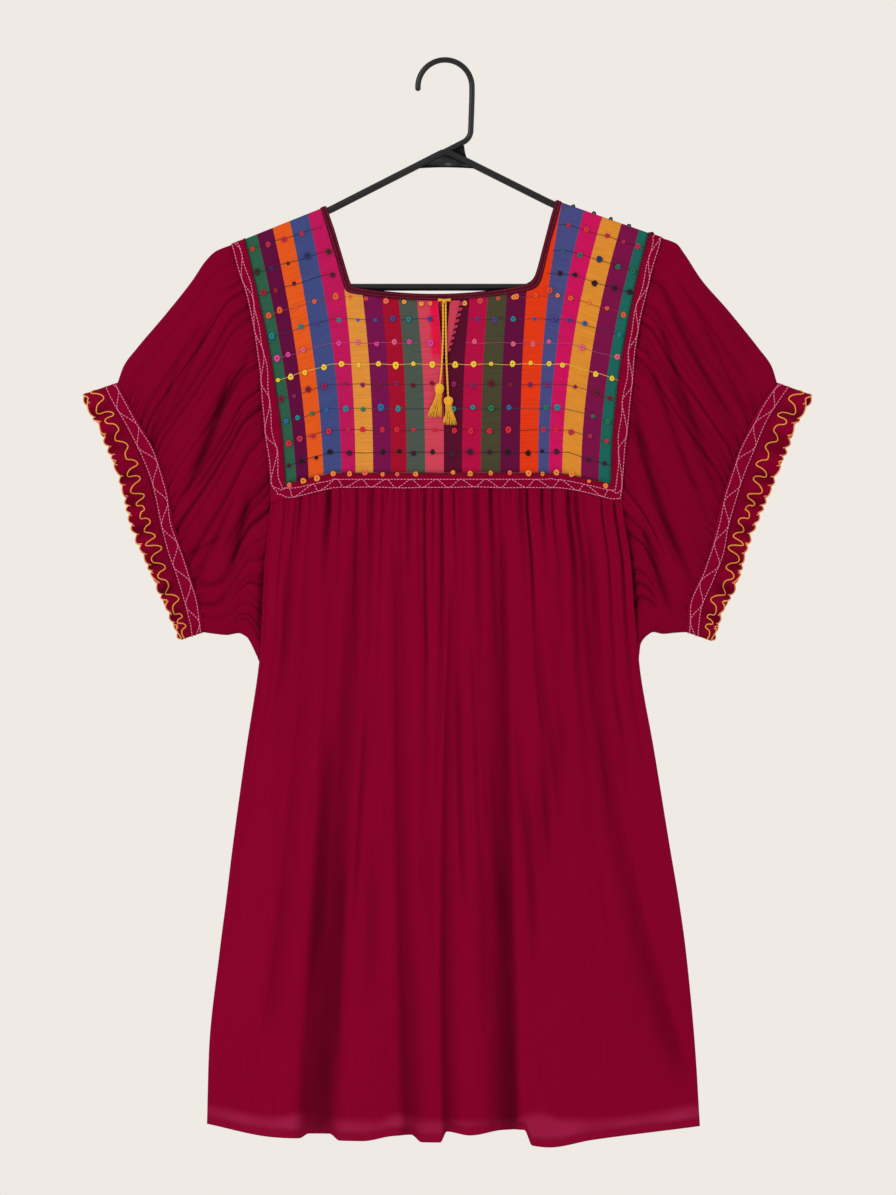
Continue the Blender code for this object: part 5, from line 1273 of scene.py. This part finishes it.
knotLook = {
    "rowZ": [-0.1440, -0.1668, -0.1876, -0.2080, -0.2280, -0.2492, -0.2682, -0.2860, -0.3075, -0.3265,
             -0.3464, -0.3648],
    "threads": [["C0204A", "D0381E"], ["1E6A5A", "24305E", "3A2A10"], ["5A0A30", "2A0A1E", "A01030"],
                ["E8803A", "E05A30"], ["2A5AA0", "12808C", "4A3A90"], ["D8409A", "E06080"], ["F4CC38"],
                ["7A1030", "8A1858", "601020"], ["2468A8", "108A96", "207850"], ["D81A38", "C02048"],
                ["1E0A18", "400A34", "14080C"], ["E86A50", "EE8A3A"]],
    # floats: the float threads' colours, each row's thread darkened, all but the yellow row: painted shade on
    # thin threads lying on the cloth
    "floats": ["3A0A22", "200E22", "240818", "A03A28", "28304E", "B04A80", "F2D060", "5E1030", "1E3E4E",
               "5E0E24", "20060E", "C04A48"],
    "underX": [-0.0840, -0.0700, -0.0520, -0.0355, -0.0195, -0.0107, 0.0160, 0.0305, 0.0470, 0.0610, 0.0930],
    "underThreads": ["F0A03A", "E8603A", "EE8A3A", "E86A50", "D0483A"],
    "shoulderX": [0.1139, 0.1323, 0.1472, 0.1634, 0.1837], "shoulderThread": "14090C",
    "slope": 0.30, "levelHalf": 0.105, "ring": 0.00135, "rope": 0.00098, "around": 10, "round": 6,
    "threadRadius": 0.00022, "missing": 0.08,
}


def rowLength(x, rowZ):  # a row is level in the middle and slopes down outwards, as the cloth hangs
    z = rowZ - knotLook["slope"] * np.maximum(np.abs(x - 0.003) - knotLook["levelHalf"], 0)
    return lengthTo(x, z)


def insideYoke(x, s, side):  # clear of the neck, of the yoke's side edge and of the slit
    away = np.abs(x - yokeLook["slitX"]) - 0.0024
    half, low = sided(yokeLook["neckTop"], x < 0), sided(yokeLook["neckBottom"], x < 0)
    down = np.clip((s - 0.0024) / (yokeLook["neckDrop"] - yokeLook["neckSag"] * (away / low) ** 2), 0, 1)
    inNeck = (away < half + (low - half) * down) & (down < 1)
    number = stripeNumber(x, s)
    inSide = (number > 0.02) & (number < len(stripesLook["colours"]) - 0.02)
    slit = (np.abs(x - 0.004) < 0.0125) & (s < 0.139) & (side < 0)
    return ~inNeck & inSide & ~slit


def ringKnots(centres, normals, sizes, chance):
    # small wound knots: a rope of radius "rope" carried once round a ring that lies on the cloth
    count = len(centres)
    a = (np.arange(knotLook["around"]) * tau / knotLook["around"])[None, :, None, None]
    b = (np.arange(knotLook["round"]) * tau / knotLook["round"])[None, None, :, None]
    down = unit(np.broadcast_to((0.0, 0.0, -1.0), normals.shape)
                - normals * np.sum(normals * (0, 0, -1.0), axis=1, keepdims=True))
    across = np.cross(normals, down)
    tall = chance.uniform(0.9, 1.25, count)[:, None, None, None]
    wobble = 1 + 0.12 * np.sin(3 * a + chance.uniform(0, tau, count)[:, None, None, None])
    out = (np.cos(a) * across[:, None, None] + np.sin(a) * tall * down[:, None, None])
    ring = knotLook["ring"] * sizes[:, None, None, None] * wobble
    rope = knotLook["rope"] * sizes[:, None, None, None]
    points = (centres[:, None, None] + out * (ring + rope * np.cos(b))
              + normals[:, None, None] * rope * (np.sin(b) + 0.55))
    n, i, j = np.meshgrid(np.arange(count), np.arange(knotLook["around"]), np.arange(knotLook["round"]),
                          indexing="ij")
    base = n * knotLook["around"] * knotLook["round"]
    k, m = (i + 1) % knotLook["around"], (j + 1) % knotLook["round"]
    wide = knotLook["round"]
    faces = np.stack([base + i * wide + j, base + k * wide + j, base + k * wide + m, base + i * wide + m],
                     axis=-1).reshape(-1, 4)
    flat = points.reshape(-1, 3)
    return flat, outward(flat, [faces])


def makeKnots(side):  # where the rows cross the stripes, moved a little, less those off the yoke
    chance = np.random.default_rng(61 if side < 0 else 62)
    numbers = np.arange(len(stripesLook["colours"])) + 0.5
    centres, tints, threads, threadTints = [], [], [], []
    for rowZ, colours, floating in zip(knotLook["rowZ"], knotLook["threads"], knotLook["floats"]):
        x = np.array([stripePlace(k, 0.12) for k in numbers])
        for _ in range(4):
            s = rowLength(x, rowZ)
            x = np.array([stripePlace(k, sk) for k, sk in zip(numbers, s)])
        x = x + chance.uniform(-0.0015, 0.0015, len(x))
        s = rowLength(x, rowZ) + chance.uniform(-0.0012, 0.0012, len(x))
        keep = insideYoke(x, s, side) & (chance.uniform(0, 1, len(x)) > knotLook["missing"]) & (s > 0.003)
        pick = chance.integers(0, len(colours), len(x))
        centres.append(np.stack([x[keep], s[keep]], axis=1))
        tints += [linear(colours[p]) for p in pick[keep]]
        lineX = np.linspace(-0.176, 0.179, 240)
        lineS = rowLength(lineX, rowZ) + 0.0004 * np.sin(lineX * 190 + rowZ * 900)
        shown = insideYoke(lineX, lineS, side) & (lineS > 0.001)
        breaks = np.flatnonzero(np.diff(shown.astype(int)))
        for run in np.split(np.arange(len(lineX)), breaks + 1):
            if shown[run[0]] and len(run) > 3:
                threads.append((lineX[run], lineS[run]))
                threadTints.append(linear(floating))
    under = np.array(knotLook["underX"])  # a row close under the neck's binding
    away = np.abs(under - yokeLook["slitX"]) / sided(yokeLook["neckBottom"], under < 0)
    under = np.stack([under, yokeLook["neckDrop"] - yokeLook["neckSag"] * away ** 2 + 0.0026], axis=1)
    under[:, 1] += chance.uniform(-0.0006, 0.0014, len(under))
    centres.append(under)
    tints += [linear(knotLook["underThreads"][k]) for k in chance.integers(0, 5, len(under))]
    if side < 0:  # the row of black knots on the right shoulder's fold
        centres.append(np.array([(x, 0.0008) for x in knotLook["shoulderX"]]))
        tints += [linear(knotLook["shoulderThread"])] * len(knotLook["shoulderX"])
    centres = np.concatenate(centres)
    x, s = centres[:, 0], centres[:, 1]
    if side < 0:
        x = opened(x, s)
    normals = surfaceNormal(x, s, side)
    sizes = chance.uniform(0.75, 1.25, len(x))
    places = hang(x, s, side, yokeLook["thickness"] / 2)
    onFold = s < 0.0012
    normals[onFold], sizes[onFold] = (0.0, -1.0, 0.0), 0.85
    places[onFold, 2] += 0.0002
    knots = ringKnots(places, normals, sizes, chance)
    perKnot = knotLook["around"] * knotLook["round"]
    colour = np.repeat(np.concatenate([np.array(tints), np.ones((len(tints), 1))], axis=1), perKnot, axis=0)
    makePiece("frontKnots" if side < 0 else "backKnots", *knots, knotThread, "edging_thread", tints=colour)
    parts, colour = [], []
    for (x, s), tint in zip(threads, threadTints):
        moved = opened(x, s) if side < 0 else x
        line = hang(moved, s, side, yokeLook["thickness"] / 2 + 0.0002 + yokeDimple(moved, s))
        made = tubes(line[None], knotLook["threadRadius"], 4)
        parts.append(made)
        colour.append(np.broadcast_to((*tint, 1.0), (len(made[0]), 4)))
    makePiece("frontFloats" if side < 0 else "backFloats", *merged(parts), knotThread, "edging_thread",
              tints=np.concatenate(colour))


for side in (-1, 1):
    makeKnots(side)
print("knots made")

# Slit edging: a narrow flap turned out over the right side of the slit, with thread teeth on its free edge

edgingLook = {"topZ": -0.2115, "length": 0.0485, "offSlit": 0.0012, "width": 0.0080, "endWidth": 0.0012,
              "taper": 0.85, "teeth": 9, "tooth": 0.0036, "radius": 0.00062, "thickness": 0.0006}


def frontAt(x, z, proud):
    x = np.asarray(x, float)
    return hang(x, lengthTo(x, z), -1, proud)


def makeEdging():  # rows outwards from the slit, as wide as width * (1 - t)^taper
    look = edgingLook
    t = np.linspace(0, 1, 60)[:, None]
    share = np.linspace(0, 1, 9)[None]
    z = look["topZ"] - t * look["length"]
    start = yokeLook["slitX"] + yokeLook["slitHalf"] * (1 - t) + look["offSlit"]
    width = look["width"] * (1 - t) ** look["taper"] + look["endWidth"]
    x = start + share * width
    swell = 0.0005 * np.sin(math.pi * share) + 0.0003 * np.sin(t * 60) * share
    crease = 0.0005 * np.exp(-((share - 0.3) / 0.08) ** 2)
    grid = frontAt(x, np.broadcast_to(z, x.shape), 0.0010 + swell - crease)
    uv = np.stack([x, np.broadcast_to(z, x.shape)], axis=-1)
    piece = clothShell("slitFlap", grid, uv, coralThread, "edging_thread", look["thickness"], ("slit_edging",))
    down = (np.arange(look["teeth"]) + 0.6) / (look["teeth"] + 0.4)
    tz = look["topZ"] - down * look["length"]
    tx = (yokeLook["slitX"] + yokeLook["slitHalf"] * (1 - down) + look["offSlit"]
          + look["width"] * (1 - down) ** look["taper"] + look["endWidth"])
    reach = look["tooth"] * (1 - 0.45 * down)
    along = np.array([[-0.45, -0.1, 0.5, 0.9, 1.0, 0.9, 0.45, 0.0]])
    up = np.array([[-0.0011, -0.0009, -0.0003, 0.0006, 0.0011, 0.0015, 0.0012, 0.0006]])
    loops = frontAt(tx[:, None] + reach[:, None] * along, tz[:, None] + up, 0.0012)
    made = tubes(loops, look["radius"] * np.array([[0.8, 1, 1, 1, 1, 1, 0.9, 0.7]]), 6)
    makePiece("slitFlapTeeth", *made, coralThread, "edging_thread")


makeEdging()

# Tie: a wrapped bar over the slit, two twisted cords and their tassels

tieLook = {
    "cord": 0.0009, "cordPoints": 17, "onYoke": 0.0018, "overEdging": 0.0013, "settleZ": -0.270,
    "settleLength": 0.012, "barX": -0.0005, "barZ": -0.2114, "barHalf": 0.0058, "barRadius": 0.0016,
    "twist": 0.0062, "strand": 0.00058, "tasselStrands": 84,
}
# the cords' routes, the same points as the model's: x and z down the cloth
leftRoute = {"x": [-0.0018, -0.0016, -0.0019, -0.0026, -0.0034, -0.0044],
             "z": [-0.2134, -0.2300, -0.2480, -0.2660, -0.2770, -0.2850]}
rightRoute = {"x": [0.0006, 0.0007, 0.0009, 0.0014, 0.0020, 0.0028],
              "z": [-0.2134, -0.2300, -0.2480, -0.2660, -0.2800, -0.2966]}


def routePoints(route, count):  # x smoothed along even steps of z, stood off further over the edging
    z = np.linspace(route["z"][0], route["z"][-1], count)
    x = smooth(route["z"], route["x"], z)
    over = blend((z - tieLook["settleZ"]) / tieLook["settleLength"])
    return frontAt(x, z, tieLook["onYoke"] + tieLook["overEdging"] * over)


def makeTieCord(name, route, nodes):
    # two strands wound round the route: offset strand * (cos, sin)(turn), a turn each "twist" of length
    fine = routePoints(route, 150)
    run = lengthAlong(fine)
    along = unit(np.gradient(fine, axis=0))
    across = unit(np.cross(along, (0.0, -1.0, 0.0)))
    up = np.cross(across, along)
    turn = (tau * run / tieLook["twist"])[:, None]
    strands = [fine + tieLook["strand"] * 0.62 * (np.cos(turn + k) * across + np.sin(turn + k) * up)
               for k in (0.0, math.pi)]
    piece = makePiece(name, *tubes(np.stack(strands), tieLook["strand"], 8), tieThread, "tie_thread", nodes)
    return piece, routePoints(route, tieLook["cordPoints"]), float(run[-1])


def makeBar():
    # thread wrapped round a short bar: a tube with ribs, its ends flared like the photo's T
    count = 60
    x = np.linspace(-1, 1, count)
    ribs = 0.72 + 0.20 * np.abs(x) ** 2 + 0.10 * np.sin(x * 60)
    radius = tieLook["barRadius"] * ribs * blend((1 - np.abs(x)) * 8 + 0.3)
    path = frontAt(tieLook["barX"] + x * tieLook["barHalf"], np.full(count, tieLook["barZ"]), 0.0028)
    path[:, 2] += 0.0004 * np.abs(x)
    parts = [tubes(path[None], radius[None], 12, np.array((0.0, -1.0, 0.0)))]
    knot = np.linspace(-1, 1, 14)
    drop = frontAt(np.full(14, tieLook["barX"] - 0.0002), tieLook["barZ"] - 0.0008 + knot * 0.0016, 0.0036)
    parts.append(tubes(drop[None], 0.0017 * np.sqrt(np.clip(1 - knot ** 2, 0.05, 1))[None], 12))
    makePiece("tieBar", *merged(parts), tieThread, "tie_thread", ("tie_bar",))


tasselLook = {"head": 0.0040, "headLength": 0.0088, "length": 0.0172, "spread": 1.5, "deep": 0.62,
              "strandRadius": 0.00030}


def makeTassel(name, top, lean, seed, nodes, taller):
    # a wound head turned from a profile, a tight neck, and strands that spread from it
    look = {**tasselLook, **{key: tasselLook[key] * taller for key in ("headLength", "length")}}
    chance = np.random.default_rng(seed)
    down = np.linspace(0, 1, 30)
    radius = look["head"] * np.interp(down, [0, 0.05, 0.2, 0.42, 0.7, 0.86, 0.93, 1.0],
                                      [0.10, 0.45, 0.86, 1.0, 0.90, 0.66, 0.60, 0.66])
    radius = radius * (1 + 0.03 * np.sin(down * 60))
    path = np.array(top)[None] + np.stack([lean * 0.35 * down * look["headLength"], 0 * down,
                                           -down * look["headLength"]], axis=1)
    head, headFaces = tubes(path[None], radius[None], 20)
    head = head - np.array(top)
    ridge = 1 + 0.05 * np.cos(14 * np.arctan2(head[:, 1], head[:, 0]))
    head = head * np.stack([ridge, ridge * look["deep"], np.ones(len(head))], axis=1) + np.array(top)
    count = tieLook["tasselStrands"]
    turn = chance.uniform(0, tau, count)
    out = np.sqrt(chance.uniform(0, 1, count)) * look["head"] * 0.62
    t = np.linspace(0, 1, 9)[None]
    fan = 1 + (look["spread"] + chance.uniform(-0.3, 0.5, count)[:, None]) * t ** 1.3
    reach = look["length"] * chance.uniform(0.86, 1.06, count)[:, None]
    wave = 0.0004 * np.sin(t * chance.uniform(4, 9, count)[:, None] + chance.uniform(0, tau, count)[:, None])
    x = np.cos(turn)[:, None] * out[:, None] * fan + wave + lean * (0.35 * look["headLength"] + reach * t)
    y = np.sin(turn)[:, None] * out[:, None] * look["deep"] * (1 + 0.25 * t) + wave * 0.5
    z = -look["headLength"] * 0.94 - reach * t
    strands = np.stack([x, y, np.broadcast_to(z, x.shape)], axis=-1) + np.array(top)
    waist = np.array(top) + (lean * 0.35 * look["headLength"], 0, -look["headLength"] * 0.90)
    ringTurn = np.arange(20) * tau / 20
    ring = waist + np.stack([np.cos(ringTurn) * look["head"] * 0.66, np.sin(ringTurn) * look["head"] * 0.66
                             * look["deep"], 0 * ringTurn], axis=1)
    thin = look["strandRadius"] * np.array([[1.0] * 7 + [0.9, 0.6]])
    parts = [(head, outward(head, headFaces)), tubes(strands, thin, 5),
             tubes(ring[None], 0.0005, 6, np.array((0.0, 0.0, 1.0)), closed=True)]
    return makePiece(name, *merged(parts), tieThread, "tie_thread", nodes)


makeBar()
leftTop = frontAt(-0.0046, -0.2850, 0.0034)
rightTop = frontAt(0.0030, -0.2966, 0.0034)
leftTassel = makeTassel("leftTassel", leftTop, -0.20, 71, ("tassel_left",), 1.16)
rightTassel = makeTassel("rightTassel", rightTop, 0.10, 72, ("tassel_right",), 0.97)
for name, route, nodeName, tassel in (("leftTieCord", leftRoute, "tie_cord_left", leftTassel),
                                   ("rightTieCord", rightRoute, "tie_cord_right", rightTassel)):
    cord, path, length = makeTieCord(name, route, (nodeName,))
print("tie made")

# Hanger: a moulded ring of tube, a hook and a small web


def rounded(xs, zs, radii, closed, step):  # straight runs joined by arcs of the given radii
    corners = np.stack([xs, zs], axis=1)
    count, found = len(corners), []
    for i in range(count):
        here = corners[i]
        if not closed and i in (0, count - 1):
            found.append(here[None])
            continue
        back, ahead = unit(corners[i - 1] - here), unit(corners[(i + 1) % count] - here)
        half = math.acos(np.clip(back @ ahead, -1, 1)) / 2
        centre = here + (back + ahead) / np.linalg.norm(back + ahead) * radii[i] / math.sin(half)
        start = here + back * radii[i] / math.tan(half) - centre
        end = here + ahead * radii[i] / math.tan(half) - centre
        turn = math.pi - 2 * half
        t = np.linspace(0, 1, max(2, math.ceil(turn / step) + 1))[:, None]
        found.append(centre + (np.sin((1 - t) * turn) * start + np.sin(t * turn) * end) / math.sin(turn))
    return np.concatenate(found)


def spacedEvenly(path, step, closed):  # the same line with points an even step apart
    if closed:
        path = np.concatenate([path, path[:1]])
    run = lengthAlong(path)
    at = np.linspace(0, run[-1], int(run[-1] / step) + 1)
    spaced = np.stack([np.interp(at, run, path[:, k]) for k in range(path.shape[1])], axis=1)
    return spaced[:-1] if closed else spaced


def flatTo3(path):  # x and z in the middle plane
    return np.stack([path[:, 0], 0 * path[:, 0], path[:, 1]], axis=1)


webLook = {
    "half": 0.031, "lowZ": -0.0943, "sag": 0.0013, "corner": (0.0265, -0.0913),
    "side": ((0.0225, -0.0890), (0.0175, -0.0835), (0.0172, -0.0735)),
    "top": [(0.013, -0.0735), (0.001, -0.0800)], "rim": 0.0004, "rib": 0.0006, "ribOut": 0.0019,
    "ribs": (((-0.030, -0.0935), (-0.002, -0.0795)), ((0.003, -0.0800), (0.029, -0.0925))),
}


def makeHanger():  # ring, hook, web and ribs as one moulding
    look = hangerLook
    plastic = plasticMaterial("blackPlastic")
    ring = spacedEvenly(rounded(look["x"], look["z"], look["radius"], True, 0.12), 0.004, True)
    parts = [tubes(flatTo3(ring)[None], look["tube"], look["sides"], closed=True)]
    turns = np.linspace(look["hookTurn"], 0, 50)
    centre = look["rod"] - look["hookRadius"]
    arc = np.stack([look["hookRadius"] * np.cos(turns), centre + look["hookRadius"] * np.sin(turns)], axis=1)
    foot = rounded(look["footX"], look["footZ"], look["footRadius"], False, 0.12)
    rod = spacedEvenly(np.concatenate([arc, foot]), 0.002, False)
    back = unit(rod[0] - rod[1])
    tip = np.linspace(1, 0, 7)[:-1]
    rod = np.concatenate([rod[0] + back * (tip * look["rod"])[:, None], rod])
    radius = np.full(len(rod), look["rod"])
    radius[:6] = look["rod"] * np.sqrt(1 - (tip * 0.985) ** 2)
    parts.append(tubes(flatTo3(rod)[None], radius[None], look["sides"]))
    # the web under the apex: its lower edge is a shallow arc, its right side a hollow curve up to the hook
    across = np.linspace(-1, 1, 25)
    low = np.stack([webLook["half"] * across, webLook["lowZ"] + webLook["sag"] * np.cos(1.57 * across)], axis=1)
    t = np.linspace(0, 1, 9)[:, None]
    a, b, c = np.array(webLook["side"])
    side = (1 - t) ** 2 * a + 2 * t * (1 - t) * b + t * t * c
    outline = np.concatenate([low, [webLook["corner"]], side, webLook["top"]])
    count, rim = len(outline), webLook["rim"]
    inner = outline + unit(outline.mean(axis=0) - outline) * rim
    layers = [(inner, -look["webHalf"]), (outline, -look["webHalf"] + rim), (outline, look["webHalf"] - rim),
              (inner, look["webHalf"])]
    web = np.concatenate([np.stack([o[:, 0], np.full(count, y), o[:, 1]], axis=1) for o, y in layers])
    faces, _, _ = gridFaces(4, count, True)
    caps = [np.arange(count)[None, ::-1], np.arange(count)[None] + 3 * count]
    parts.append((web, outward(web, [faces] + caps)))
    # thin ribs where the mould's halves meet, along the web's two slopes
    for a, b in webLook["ribs"]:
        for y in (-webLook["ribOut"], webLook["ribOut"]):
            line = np.linspace((a[0], y, a[1]), (b[0], y, b[1]), 6)
            parts.append(tubes(line[None], webLook["rib"], 8))
    makePiece("blackHanger", *merged(parts), plastic, "hanger_plastic", ("hanger",))


makeHanger()
print("hanger made")

# Studio: a pale floor below, soft light, a pale even background

studioLook = {
    "floorZ": -1.30, "floorRadius": 1.3, "floor": "EFEAE4", "background": "EFEAE4", "ambient": 0.78,
    "aim": (0.0, 0.0, -0.5),
    "lamps": {"key": ((-1.9, -2.3, 0.7), 1.6, 34.0), "fill": ((2.2, -1.9, -0.3), 1.8, 8.0),
              "rim": ((0.3, 2.4, 0.6), 1.6, 10.0)},
}


def makeStudio():  # floor, background and three area lamps
    look = studioLook
    turn = np.arange(96) * tau / 96
    points = np.stack([look["floorRadius"] * np.cos(turn), look["floorRadius"] * np.sin(turn),
                       np.full(96, look["floorZ"])], axis=1)
    mesh = bpy.data.meshes.new("floor")
    mesh.from_pydata(points.tolist(), [], [list(range(96))])
    paint, tree, shader = newMaterial("floorPaint")
    solid = node(tree, "ShaderNodeTexCoord").outputs["Object"]
    mottled = noiseOf(tree, solid, (6.0, 6.0, 6.0), 2.0)
    tree.links.new(mixed(tree, mottled, linear(look["floor"]), linear("E9E4DD")), shader.inputs["Base Color"])
    shader.inputs["Roughness"].default_value = 0.9
    mesh.materials.append(paint)
    floor = bpy.data.objects.new("floor", mesh)
    bpy.context.scene.collection.objects.link(floor)
    world = bpy.data.worlds.new("studio")
    world.use_nodes = True
    tree = world.node_tree
    seen = tree.nodes["Background"]
    seen.inputs["Color"].default_value = (*linear(look["background"]), 1.0)
    light = node(tree, "ShaderNodeBackground", {"Color": (1.0, 0.98, 0.96, 1.0), "Strength": look["ambient"]})
    path = node(tree, "ShaderNodeLightPath")
    mix = node(tree, "ShaderNodeMixShader", {0: path.outputs["Is Camera Ray"], 1: light.outputs[0],
                                             2: seen.outputs[0]})
    tree.links.new(mix.outputs[0], tree.nodes["World Output"].inputs["Surface"])
    bpy.context.scene.world = world
    for name, (place, size, power) in look["lamps"].items():
        lamp = bpy.data.lights.new(name, "AREA")
        lamp.size = size
        lamp.energy = power
        holder = bpy.data.objects.new(name, lamp)
        holder.location = place
        aim = np.array(look["aim"]) - np.array(place)
        tilt, turned = math.acos(-aim[2] / np.linalg.norm(aim)), math.atan2(aim[1], aim[0]) - math.pi / 2
        holder.rotation_euler = (tilt, 0.0, turned)
        bpy.context.scene.collection.objects.link(holder)
    bpy.context.scene.view_settings.view_transform = "Standard"


makeStudio()
print("studio made")
